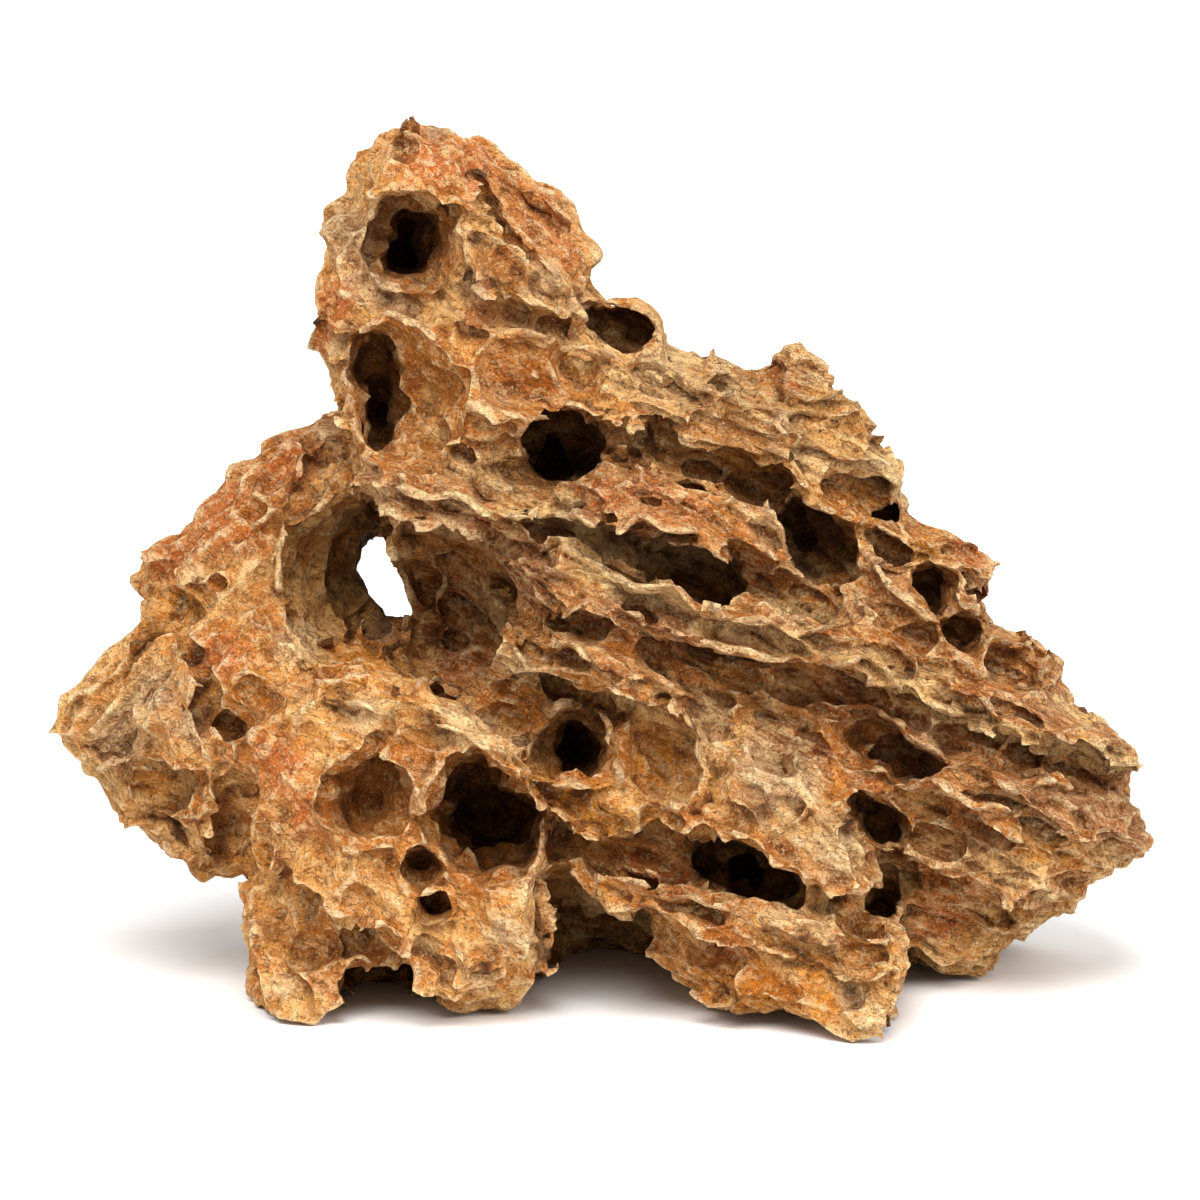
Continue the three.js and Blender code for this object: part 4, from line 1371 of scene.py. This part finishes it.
# Where each colour lies: across, up, and how far it reaches.
STAINS = {
    Guide.RUST: (
        (-38, 181, 8), (-28, 179, 8), (-14, 168, 9), (-8, 160, 6), (-57, 150, 6), (-60, 142, 4),
        (-82, 104, 13), (-67, 116, 8), (-94, 94, 6), (-82, 73, 7), (-70, 50, 8), (-62, 38, 6),
        (12, 129, 6), (42, 134, 7), (10, 108, 7), (-2, 107, 6), (33, 92, 6), (20, 105, 5),
        (76, 62, 6), (86, 56, 6), (82, 34, 8), (70, 51, 6), (58, 55, 7), (57, 46, 6), (47, 52, 4),
        (-32, 88, 9), (-30, 72, 8), (8, 78, 6), (18, 75, 4), (52, 66, 6), (8, 27, 6), (17, 24, 5),
        (75, 18, 8), (66, 76, 4), (27, 10, 7), (-26, 147, 6), (-28, 116, 6), (-12, 131, 5),
        (50, 76, 3), (80, 96, 5), (-22, 133, 5),
    ),
    Guide.GREY: (
        (-55, 165, 8), (-50, 155, 6), (-44, 150, 5), (-28, 153, 4), (-20, 157, 4), (-36, 187, 3),
        (38, 123, 5), (43, 117, 4), (-15, 92, 7), (5, 85, 5), (15, 82, 6), (30, 77, 5),
        (38, 46, 10), (50, 31, 8), (35, 52, 7), (61, 92, 5), (72, 54, 4), (98, 62, 5), (109, 40, 7),
        (114, 33, 5), (90, 43, 5), (-105, 54, 8), (-96, 66, 6), (-88, 58, 5), (-40, 48, 5),
        (-20, 14, 5), (54, 0, 4), (-12, 36, 4), (-18, 71, 4), (-60, 122, 4), (97, 38, 5),
        (10, 135, 4), (-42, 44, 3), (3, 49, 3), (-47, 79, 4),
    ),
    Guide.CREAM: (
        (-30, 163, 4), (-13, 154, 5), (-5, 149, 4), (-47, 108, 7), (-31, 104, 7), (-66, 76, 6),
        (-88, 91, 3), (-51, 61, 5), (-29, 57, 7), (-18, 54, 3), (-26, 4, 4), (-68, 2, 4),
        (15, 137, 6), (28, 130, 5), (61, 114, 5), (65, 108, 3), (56, 84, 4), (43, 92, 3),
        (35, 103, 5), (80, 86, 3), (93, 64, 3), (70, 55, 4), (110, 52, 5), (-101, 62, 4),
        (24, 61, 5), (22, 54, 4), (48, 14, 5), (38, 17, 4), (58, -5, 4), (97, 22, 4), (95, 13, 4),
        (-20, 96, 3), (3, 88, 3), (40, 79, 5), (-16, 24, 4), (-14, 10, 4), (44, 44, 4),
        (-57, 140, 3), (-6, 104, 4), (100, 42, 4), (-25, 128, 5),
    ),
    Guide.OCHRE: (
        (12, 53, 9), (-4, 65, 5), (-18, 60, 5), (-10, 44, 7), (0, 38, 7), (22, 88, 7), (33, 93, 5),
        (57, 107, 7), (30, 119, 8), (51, 43, 6), (35, 0, 10), (25, 4, 7), (46, -1, 6), (90, 71, 6),
        (102, 49, 6), (-91, 84, 6), (-76, 28, 5), (12, 38, 3), (-52, 70, 6), (-38, 27, 4),
        (67, 78, 4), (47, 85, 4), (62, 9, 4), (30, 110, 6), (2, 25, 3), (-78, 60, 4), (-96, 44, 5),
        (-10, 25, 3), (60, 74, 8), (76, 70, 6), (95, 56, 5), (50, 90, 5), (44, 72, 6), (86, 40, 7),
        (22, 101, 6), (66, 64, 6), (70, 98, 6), (96, 32, 6), (30, 70, 6), (40, 113, 6),
    ),
}


def stain_at(points: np.ndarray, spots: tuple[tuple[float, float, float], ...]) -> np.ndarray:
    """Works out how strongly one colour's patches show.

    Args:
        points: The places, as rows.
        spots: The patches: across, up, and how far each reaches.

    Returns:
        One share for each place, from 0 to 1.
    """
    clear = np.ones(len(points))
    for across, up, reach in spots:
        gap = np.hypot(points[:, 0] - across, points[:, 1] - up)
        clear *= 1 - np.exp(-((gap / reach) ** 2))
    return 1 - clear


# ---- The stone ----


@dataclass
class DragonStone:
    """The stone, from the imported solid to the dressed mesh."""

    face: FaceFrame = field(default_factory=FaceFrame)
    grain: Grain = field(default_factory=Grain)
    sweeps: Scallops = Scallops(14.0, 3.8, 0.6, 0.10, seed=3, yields=0.6, bite=0.35)
    scoops: Scallops = Scallops(7.0, 2.0, 0.6, 0.12, seed=5, yields=0.75, bite=0.25)
    chips: Scallops = Scallops(3.3, 0.9, 0.7, 0.15, seed=8, yields=0.4, bite=0.12, along_grain=0.6)
    thick_beds: Bedding = Bedding(7.5, 3.4, 21)
    thin_beds: Bedding = Bedding(3.2, 2.6, 27)
    hollow_bend: Bend = Bend(5.0, 0.9, 51)
    unseen_bend: Bend = Bend(26.0, 3.2, 33)  # of what can't be seen from the front
    broad_bend: Bend = Bend(11.0, 1.3, 31)
    fine_bend: Bend = Bend(4.5, 0.35, 41)

    EDGE_WIDTHS = (7.0, 4.0, 2.4)  # how far in each pull on the stone's edge is felt
    BLUNTING = ((14, 3.0), (14, 3.0), (7, 1.9), (3, 1.0))  # rounds, and from what height
    WALL, RIM = 0.9, 2.0  # how far from a hollow's wall broad and fine wear count as inside it
    LOOKS = 10  # how many ways the open air is looked for
    LOOK_EVERY = 6  # from every which vertex
    LOOK_REACH = 40.0
    LOOK_SPREAD = 1.05  # how strongly the looks keep to the surface's own way out

    def build(self) -> bpy.types.Object:
        """Builds the stone.

        Returns:
            The finished object, not dressed yet.
        """
        made = self.rough_out()
        LOG.info("roughed out: %d faces", len(made.data.polygons))
        inside = self.carve(made)
        LOG.info("carved: %d faces", len(made.data.polygons))
        lots = self.weather(made, inside)
        LOG.info("weathered: %d faces", len(made.data.polygons))
        self.mark(made, lots, inside)
        self.thin(made)
        self.put_in_place(made)
        return made

    def rough_out(self) -> bpy.types.Object:
        """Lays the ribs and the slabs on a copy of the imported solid.

        Returns:
            The stone, in the face frame.
        """
        bm = bmesh.new()
        bm.from_mesh(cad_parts[NODE].data)
        bmesh.ops.transform(bm, matrix=self.face.to_face(), verts=bm.verts)
        bmesh.ops.remove_doubles(bm, verts=bm.verts, dist=1e-3)
        made = object_of(bm, "weathered_stone")
        ground = Ground(made)
        bm = bmesh.new()
        bm.from_mesh(made.data)
        for feature in (*RIBS, *SLABS):
            feature.build(bm, ground)
        drop(made)
        made = object_of(bm, "weathered_stone")
        remesh(made, BUILT_VOXEL_MM)
        Surface(made).round_off(3)
        return made

    def carve(self, made: bpy.types.Object) -> BVHTree:
        """Cuts the hollows and the clefts.

        Args:
            made: The stone.

        Returns:
            A search tree over the walls of the hollows.
        """
        ground = Ground(made)
        bm = bmesh.new()
        for hollow in HOLLOWS:
            hollow.build(bm, ground)
        cutter = object_of(bm, "cutter")
        remesh(cutter, CUTTER_VOXEL_MM)
        surface = Surface(cutter)
        surface.move(noise_at(surface.points, 8.0, 4, 3) * 2.4)
        surface.warp(self.hollow_bend)
        walls = tree_of(cutter.data)
        self.cut(made, cutter)
        bm = bmesh.new()
        for cleft in CLEFTS:
            cleft.build(bm, ground)
        cutter = object_of(bm, "cutter")
        remesh(cutter, CUTTER_VOXEL_MM)
        self.cut(made, cutter)
        remesh(made, BUILT_VOXEL_MM)
        return walls

    def cut(self, made: bpy.types.Object, cutter: bpy.types.Object) -> None:
        """Cuts one object out of the stone and drops it.

        Args:
            made: The stone.
            cutter: What is cut out of it.
        """
        modifier = made.modifiers.new("cut", "BOOLEAN")
        modifier.operation = "DIFFERENCE"
        modifier.solver = "MANIFOLD"
        modifier.object = cutter
        settle(made)
        drop(cutter)

    def inside_hollows(self, surface: Surface, walls: BVHTree, reach: float) -> np.ndarray:
        """Works out which vertices lie on the walls of the hollows.

        Args:
            surface: The stone's surface.
            walls: A search tree over the walls of the hollows.
            reach: How far from a wall a vertex still counts.

        Returns:
            1 on the walls, 0 elsewhere, and a short blend at their rims.
        """
        points = surface.points.tolist()
        hits = [walls.find_nearest(point, reach)[0] is not None for point in points]
        return surface.web.even_out(np.array(hits, dtype=float), 4)

    def weather(self, made: bpy.types.Object, walls: BVHTree) -> np.ndarray:
        """Breaks the surface into beds and flakes.

        Args:
            made: The stone.
            walls: A search tree over the walls of the hollows.

        Returns:
            Two numbers for each vertex, each the same all over one flake or one chip.
        """
        surface = Surface(made)
        self.wear_beds(surface, walls)
        for edge in (Edge(OUTLINE), Edge(DAYLIGHT)):
            for width in self.EDGE_WIDTHS:
                edge.draw_to(made, width)
        remesh(made, FINE_VOXEL_MM)
        keep_largest(made)
        surface.read()
        return self.wear_flakes(surface, walls)

    def wear_beds(self, surface: Surface, walls: BVHTree) -> None:
        """Wears the surface into broad sweeps and thick beds.

        Args:
            surface: The stone's surface.
            walls: A search tree over the walls of the hollows.
        """
        unseen = surface.web.even_out(np.clip(0.1 - surface.flow[:, 2], 0, 1), 20)
        surface.warp(self.unseen_bend, unseen)
        calm = 1 - 0.7 * self.inside_hollows(surface, walls, self.WALL)
        far_side = np.clip(-surface.flow[:, 2] * 1.5, 0, 1)
        bedding = np.maximum(self.grain.bedding(surface.points), far_side * 0.7)
        sweeps, _ = self.sweeps.relief(surface, self.grain)
        beds = self.thick_beds.relief(surface.points) * bedding
        sweeps *= 1 - self.sweeps.yields * bedding
        carving = (sweeps + beds) * (1 + 0.6 * far_side) * calm
        most = -self.sweeps.bite * surface.thickness()
        surface.move(np.maximum(carving, most) * surface.leeway())
        surface.warp(self.broad_bend)
        surface.warp(self.fine_bend)

    def wear_flakes(self, surface: Surface, walls: BVHTree) -> np.ndarray:
        """Wears the surface into thin beds, flakes and chips, and blunts its ridges.

        Args:
            surface: The stone's surface.
            walls: A search tree over the walls of the hollows.

        Returns:
            Two numbers for each vertex, each the same all over one flake or one chip.
        """
        inside = self.inside_hollows(surface, walls, self.RIM)
        bedding = self.grain.bedding(surface.points)
        scoops, lots = self.scoops.relief(surface, self.grain)
        beds = self.thin_beds.relief(surface.points) * bedding
        scoops *= 1 - self.scoops.yields * bedding
        thickness = surface.thickness()
        carving = (scoops + beds) * (1 - 0.5 * inside)
        surface.move(np.maximum(carving, -self.scoops.bite * thickness) * surface.leeway())
        surface.read()
        chips, small_lots = self.chips.relief(surface, self.grain)
        chips *= 1 - self.chips.yields * bedding
        surface.move(np.maximum(chips, -self.chips.bite * thickness) * surface.leeway())
        for rounds, start in self.BLUNTING:
            surface.blunt(rounds, start)
        return np.stack([lots, small_lots], axis=1)

    def sheltered(self, surface: Surface) -> np.ndarray:
        """Looks for the open air from a share of the vertices.

        Args:
            surface: The stone's surface.

        Returns:
            How much of the open air each vertex is shut off from, from 0 to 1.
        """
        tree = tree_of(surface.made.data)
        draw = np.random.default_rng(71)
        picks = np.arange(0, len(surface.points), self.LOOK_EVERY)
        ways = draw.normal(size=(len(picks), self.LOOKS, 3))
        ways /= np.linalg.norm(ways, axis=2, keepdims=True)
        ways += surface.flow[picks, None, :] * self.LOOK_SPREAD
        starts = surface.points[picks] + surface.flow[picks] * 0.8
        known = np.zeros((len(surface.points), 2))
        known[picks, 1] = 1
        for pick, start, looks in zip(picks, starts.tolist(), ways.tolist()):
            for look in looks:
                normal = tree.ray_cast(start, look, self.LOOK_REACH)[1]
                known[pick, 0] += normal is not None and normal.dot(look) < 0
        known[:, 0] /= self.LOOKS
        spread = surface.web.even_out(known, self.LOOK_EVERY)
        return spread[:, 0] / np.maximum(spread[:, 1], 1e-9)

    def mark(self, made: bpy.types.Object, lots: np.ndarray, walls: BVHTree) -> None:
        """Stores on the mesh what the finish reads.

        Args:
            made: The stone.
            lots: Two numbers for each vertex, each the same all over one flake or one chip.
            walls: A search tree over the walls of the hollows.
        """
        surface = Surface(made)
        marks: dict[Guide, np.ndarray] = {
            Guide.FLAKE: lots[:, 0],
            Guide.CHIP: lots[:, 1],
            Guide.EDGE: surface.standing(4),
            Guide.RISE: surface.standing(20),
            Guide.SINK: surface.standing(140),
            Guide.HOLLOW: self.inside_hollows(surface, walls, self.RIM),
            Guide.BEDDING: self.grain.bedding(surface.points),
            Guide.BED: self.thick_beds.lot(surface.points),
            Guide.OCCLUSION_SHADE: self.sheltered(surface),
            Guide.CLOUDS: noise_at(surface.points, 14.0, 61, 3),
            Guide.BLOTS: noise_at(surface.points, 5.0, 62, 3),
        }
        for stain, spots in STAINS.items():
            marks[stain] = stain_at(surface.points, spots)
        for mark, values in marks.items():
            attribute = made.data.attributes.new(mark.value, "FLOAT", "POINT")
            attribute.data.foreach_set("value", values.astype(np.float32))
        far_side = made.vertex_groups.new(name="far_side")
        hidden = np.maximum(-2.5 * surface.flow[:, 2], 4 * marks[Guide.OCCLUSION_SHADE] - 3)
        weights = np.clip(hidden, 0.1, 1).round(1)
        for weight in np.unique(weights):
            far_side.add(np.nonzero(weights == weight)[0].tolist(), float(weight), "REPLACE")

    def thin(self, made: bpy.types.Object) -> None:
        """Thins the mesh to its budget of triangles, most where it is flat and on the far side.

        Args:
            made: The stone.
        """
        triangles = sum(len(polygon.vertices) - 2 for polygon in made.data.polygons)
        modifier = made.modifiers.new("thin", "DECIMATE")
        modifier.ratio = min(TRIANGLE_BUDGET / triangles, 1.0)
        modifier.vertex_group = "far_side"
        modifier.vertex_group_factor = 2.0
        settle(made)

    def put_in_place(self, made: bpy.types.Object) -> None:
        """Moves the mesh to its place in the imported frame, and keeps it on the floor.

        Args:
            made: The stone.
        """
        made.data.transform(self.face.to_packed())
        points = points_of(made.data)
        points[:, 2] = np.maximum(points[:, 2], CAD_BOX[0][2])
        place_points(made.data, points)
        made.data.shade_smooth()
        made.data.set_sharp_from_angle(angle=math.radians(SHARP_FROM_DEG))

    def dress(self, made: bpy.types.Object, finish: "WeatheredClayStone") -> None:
        """Gives the stone its finish, in place of any other."""
        made.data.materials.clear()
        made.data.materials.append(finish.material())


# ---- Finishes ----


def linear(colour: str) -> tuple[float, float, float, float]:
    """Turns an sRGB colour into linear light.

    Args:
        colour: The colour in hex, after a hash sign.

    Returns:
        Red, green, blue and alpha.
    """
    parts = [int(colour[start : start + 2], 16) / 255 for start in (1, 3, 5)]
    light = [part / 12.92 if part <= 0.04045 else ((part + 0.055) / 1.055) ** 2.4 for part in parts]
    return (*light, 1.0)


def add_node(
    tree: bpy.types.NodeTree, kind: str, inputs: dict, **settings: object
) -> bpy.types.Node:
    """Adds one node.

    Args:
        tree: The node tree.
        kind: The node's type.
        inputs: What goes into its sockets, by name or number: a socket to link or a value to set.
        settings: The node's own properties.

    Returns:
        The node.
    """
    node = tree.nodes.new(kind)
    for name, value in settings.items():
        setattr(node, name, value)
    for name, value in inputs.items():
        if isinstance(value, bpy.types.NodeSocket):
            tree.links.new(value, node.inputs[name])
        else:
            node.inputs[name].default_value = value
    return node


@dataclass(frozen=True)
class Coat:
    """One colour laid over those before it, where a mark or a pattern is strong."""

    colour: str
    share: float  # how much it covers where it is strongest
    by: Guide  # what places it
    start: float  # where it begins to show
    full: float  # where it is strongest
    ragged: float = 0.0  # how much its edge is broken up
    within: Guide | None = None  # a mark that thins it out where the mark is weak


class Texture(Enum):
    """The kinds of pattern: the node that draws it, and which of its outputs gives it."""

    CLOUDS = ("ShaderNodeTexNoise", 0)
    FLAKES = ("ShaderNodeTexVoronoi", 1)
    PIT_SHADE = ("ShaderNodeTexVoronoi", 0)


@dataclass(frozen=True)
class Pattern:
    """A procedural pattern, sized in millimetres."""

    guide: Guide
    kind: Texture
    size: float
    detail: float
    roughness: float = 0.7
    longer: float = 1.0  # how much longer than thick it is, along the beds
    fold: float = 1.0  # the strength at which it turns back
    bends_mm: float = 0.0  # how far it bends the patterns after it


Guides = dict[Guide, bpy.types.NodeSocket]


@dataclass(frozen=True)
class WeatheredClayStone:
    """Weathered clay stone, stained by iron: dull, in ochre, rust, cream and dark brown.

    Its coats also paint highlights on the ridges and shade into the dips, pits and hollows.
    """

    name: str = "weathered_clay_stone"
    ground: str = "#cb8740"
    roughness: float = 0.78
    specular: float = 0.16
    patterns: tuple[Pattern, ...] = (
        Pattern(Guide.MOTTLE, Texture.CLOUDS, 2.4, 4, bends_mm=1.6),
        Pattern(Guide.GRIT, Texture.CLOUDS, 0.7, 2),  # real grit is finer, and would not show
        Pattern(Guide.STREAKS, Texture.CLOUDS, 1.1, 3, longer=8),
        Pattern(Guide.FLECKS, Texture.FLAKES, 1.4, 0, longer=2),
        Pattern(Guide.CRACKS, Texture.CLOUDS, 4.0, 2, longer=3, fold=0.5),
        # colour only, with no relief: it places dark spots of painted shade
        Pattern(Guide.PIT_SHADE, Texture.PIT_SHADE, 2.6, 0, longer=1.5),
    )
    coats: tuple[Coat, ...] = (
        Coat("#d49a54", 0.7, Guide.CLOUDS, 0.0, 0.5),
        Coat("#bd7026", 0.6, Guide.BLOTS, 0.05, 0.5),
        Coat("#ac5a20", 0.5, Guide.FLAKE, 0.75, 0.9),
        Coat("#e2b06a", 0.5, Guide.FLAKE, 0.28, 0.12),
        Coat("#a3855c", 0.35, Guide.CHIP, 0.78, 0.9),
        Coat("#cf8020", 0.8, Guide.OCHRE, 0.25, 0.75, 0.4),
        Coat("#ad4f19", 0.75, Guide.RUST, 0.25, 0.8, 0.5),
        Coat("#9c8064", 0.65, Guide.GREY, 0.25, 0.8, 0.5),
        Coat("#e8c592", 0.6, Guide.CREAM, 0.25, 0.8, 0.4),
        Coat("#ebc080", 0.75, Guide.BED, 0.6, 0.66, 0.08, within=Guide.BEDDING),
        Coat("#b06430", 0.6, Guide.BED, 0.3, 0.22, 0.08, within=Guide.BEDDING),
        Coat("#b06216", 0.75, Guide.HOLLOW, 0.3, 0.9, 0.4),
        # painted highlight: cream along the ridges and on what stands out
        Coat("#f0d2a0", 0.75, Guide.EDGE, 0.3, 2.0, 0.5),
        Coat("#eccfa0", 0.5, Guide.RISE, 0.3, 1.9, 0.5),
        # painted shade: dark brown in creases and low places, darkest in the deepest dips
        Coat("#80400c", 0.5, Guide.RISE, -0.6, -2.4, 0.5),
        Coat("#612f08", 0.5, Guide.EDGE, -0.7, -2.2, 0.5),
        Coat("#3c1a06", 0.7, Guide.SINK, -1.3, -3.0, 0.3),
        Coat("#eec58a", 0.3, Guide.FLECKS, 0.62, 0.74),
        Coat("#8a4c14", 0.35, Guide.FLECKS, 0.36, 0.26),
        # painted shade: near-black pit centres, with no pit in the mesh
        Coat("#2c1406", 0.9, Guide.PIT_SHADE, 0.24, 0.14, within=Guide.BLOTS),
        Coat("#2c1406", 0.5, Guide.CRACKS, 0.48, 0.493),
        Coat("#eec890", 0.35, Guide.MOTTLE, 0.56, 0.68),
        Coat("#663610", 0.45, Guide.MOTTLE, 0.44, 0.32),
        Coat("#eec890", 0.4, Guide.STREAKS, 0.54, 0.66, within=Guide.BEDDING),
        Coat("#5c3010", 0.5, Guide.STREAKS, 0.46, 0.34, within=Guide.BEDDING),
        Coat("#f4d8a4", 0.45, Guide.GRIT, 0.58, 0.7),
        Coat("#331604", 0.62, Guide.GRIT, 0.42, 0.3),
        # painted shade: brown, then near black, where the open air is shut off, in holes, hollows
        # and clefts
        Coat("#7a4214", 0.4, Guide.OCCLUSION_SHADE, 0.5, 0.85, 0.1),
        Coat("#200c03", 0.8, Guide.OCCLUSION_SHADE, 0.78, 1.0, 0.1),
    )
    relief_mm: tuple[tuple[Guide, float, Guide | None], ...] = (  # what, how high, where it shows
        (Guide.MOTTLE, 1.3, None),
        (Guide.STREAKS, 1.6, Guide.BEDDING),
        (Guide.FLECKS, 1.1, None),
        (Guide.GRIT, 1.0, None),
    )

    RAGGED_GAIN = 4  # how strongly the mottling breaks up a ragged edge

    def material(self) -> bpy.types.Material:
        """Makes the finish.

        Returns:
            The material.
        """
        made = bpy.data.materials.new(self.name)
        made.use_nodes = True
        tree = made.node_tree
        tree.nodes.clear()
        drawn = {pattern.guide for pattern in self.patterns}
        guides = {}
        for mark in Guide:
            if mark not in drawn:
                stored = add_node(tree, "ShaderNodeAttribute", {}, attribute_name=mark.value)
                guides[mark] = stored.outputs["Fac"]
        self.draw_patterns(tree, guides)
        colour = self.lay_coats(tree, guides)
        shader = add_node(
            tree,
            "ShaderNodeBsdfPrincipled",
            {
                "Base Color": colour,
                "Roughness": self.roughness,
                "Specular IOR Level": self.specular,
                "Normal": self.roughen(tree, guides),
            },
        )
        add_node(tree, "ShaderNodeOutputMaterial", {"Surface": shader.outputs[0]})
        return made

    def draw_patterns(self, tree: bpy.types.NodeTree, guides: Guides) -> None:
        """Adds every pattern's strength to the guides.

        Args:
            tree: The material's node tree.
            guides: Where the patterns' sockets are added.
        """
        place = add_node(tree, "ShaderNodeTexCoord", {}).outputs["Object"]
        for pattern in self.patterns:
            kind, output = pattern.kind.value
            drawn = add_node(
                tree,
                "ShaderNodeMapping",
                {
                    "Vector": place,
                    "Rotation": (0, -BED_HEADING, 0),
                    "Scale": (pattern.longer, 1, 1),
                },
                vector_type="TEXTURE",
            )
            texture = add_node(
                tree,
                kind,
                {
                    "Vector": drawn.outputs[0],
                    "Scale": 1 / (pattern.size * MM),
                    "Detail": pattern.detail,
                    "Roughness": pattern.roughness,
                },
            )
            folded = add_node(
                tree,
                "ShaderNodeMath",
                {0: texture.outputs[output], 1: pattern.fold},
                operation="PINGPONG",
            )
            guides[pattern.guide] = folded.outputs[0]
            if pattern.bends_mm:
                place = add_node(
                    tree,
                    "ShaderNodeVectorMath",
                    {0: folded.outputs[0], 1: (pattern.bends_mm * MM,) * 3, 2: place},
                    operation="MULTIPLY_ADD",
                ).outputs[0]

    def lay_coats(self, tree: bpy.types.NodeTree, guides: Guides) -> bpy.types.NodeSocket:
        """Lays coat over coat.

        Args:
            tree: The material's node tree.
            guides: The sockets of the marks and the patterns.

        Returns:
            The stone's colour.
        """
        colour: object = linear(self.ground)
        for coat in self.coats:
            guide = guides[coat.by]
            span = math.copysign(coat.ragged * self.RAGGED_GAIN, coat.full - coat.start)
            if coat.ragged:
                guide = add_node(
                    tree,
                    "ShaderNodeMath",
                    {0: guides[Guide.MOTTLE], 1: span, 2: guide},
                    operation="MULTIPLY_ADD",
                ).outputs[0]
            cover = add_node(
                tree,
                "ShaderNodeMapRange",
                {
                    "Value": guide,
                    "From Min": coat.start + span / 2,
                    "From Max": coat.full + span / 2,
                    "To Max": coat.share,
                },
            )
            if coat.within:
                cover = add_node(
                    tree,
                    "ShaderNodeMath",
                    {0: cover.outputs[0], 1: guides[coat.within]},
                    operation="MULTIPLY",
                )
            mixed = add_node(
                tree,
                "ShaderNodeMix",
                {0: cover.outputs[0], 6: colour, 7: linear(coat.colour)},
                data_type="RGBA",
            )
            colour = mixed.outputs[2]
        return colour

    def roughen(self, tree: bpy.types.NodeTree, guides: Guides) -> bpy.types.NodeSocket:
        """Roughens the surface with crumbs, streaks and grit that are too fine for the mesh.

        Args:
            tree: The material's node tree.
            guides: The sockets of the marks and the patterns.

        Returns:
            The normal.
        """
        normal = None
        for by, height, within in self.relief_mm:
            strength = guides[within] if within else 1.0
            inputs = {"Height": guides[by], "Strength": strength, "Distance": height * MM}
            if normal:
                inputs["Normal"] = normal
            normal = add_node(tree, "ShaderNodeBump", inputs).outputs["Normal"]
        return normal


# ---- Studio ----


@dataclass(frozen=True)
class MattPaper:
    """Matt paper, which shows soft shadows and no gloss."""

    name: str = "matt_white_paper"
    colour: str = "#f6f5f3"
    roughness: float = 0.9

    def material(self) -> bpy.types.Material:
        """Makes the finish.

        Returns:
            The material.
        """
        made = bpy.data.materials.new(self.name)
        made.use_nodes = True
        shader = made.node_tree.nodes["Principled BSDF"]
        shader.inputs["Base Color"].default_value = linear(self.colour)
        shader.inputs["Roughness"].default_value = self.roughness
        return made


@dataclass(frozen=True)
class Studio:
    """The pale floor, the soft lights and the camera."""

    face: FaceFrame
    paper: MattPaper = MattPaper()
    floor_reach: float = 30.0  # metres from the floor's middle to its sides
    distance: float = VIEW_MM * MM
    view_width: float = 0.2611  # metres of the face that fill the picture
    room_light: float = 0.78
    key_light: float = 3.2
    spread_deg: float = 36.0
    key_from: tuple[float, float, float] = (-0.14, -0.68, 0.86)
    fill_light: float = 1.8
    fill_from: tuple[float, float, float] = (0.8, -0.6, 0.6)

    def build(self) -> None:
        """Builds all of it."""
        self.lay_floor()
        self.light()
        self.set_camera()

    def lay_floor(self) -> None:
        """Lays the floor."""
        bm = bmesh.new()
        bmesh.ops.create_grid(bm, x_segments=1, y_segments=1, size=self.floor_reach)
        floor = object_of(bm, "floor")
        floor.data.materials.append(self.paper.material())

    def light(self) -> None:
        """Lights the room evenly, with a broad light high in front and a weak one at the right."""
        world = bpy.data.worlds.new("studio")
        world.use_nodes = True
        background = world.node_tree.nodes["Background"]
        background.inputs["Color"].default_value = linear("#ffffff")
        background.inputs["Strength"].default_value = self.room_light
        bpy.context.scene.world = world
        for name, strength, way in (
            ("key", self.key_light, self.key_from),
            ("fill", self.fill_light, self.fill_from),
        ):
            light = bpy.data.lights.new(name, "SUN")
            light.energy = strength
            light.angle = math.radians(self.spread_deg)
            lamp = new_object(name, light)
            lamp.rotation_euler = Vector(way).to_track_quat("Z", "Y").to_euler()

    def set_camera(self) -> None:
        """Sets the camera square to the broad face, with a long lens."""
        data = bpy.data.cameras.new("camera")
        data.lens = data.sensor_width * self.distance / self.view_width
        camera = new_object("camera", data)
        aim = self.face.to_packed() @ Vector((*AIM, 0))
        tilt = self.face.tilt
        back = Vector((0, -math.cos(tilt), math.sin(tilt)))
        camera.location = aim + back * self.distance
        camera.rotation_euler = Euler((math.pi / 2 - tilt, 0, 0))
        bpy.context.scene.camera = camera


def main() -> None:
    """Builds the stone and the studio, and reports each."""
    logging.basicConfig(level=logging.INFO, format="%(asctime)s %(message)s")
    bpy.context.scene.view_settings.view_transform = "Standard"
    stone = DragonStone()
    piece = stone.build()
    stone.dress(piece, WeatheredClayStone())
    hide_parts(NODE)
    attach(piece, "root")
    LOG.info("stone: %d faces", len(piece.data.polygons))
    Studio(stone.face).build()
    LOG.info("studio built")


if __name__ == "__main__":
    main()
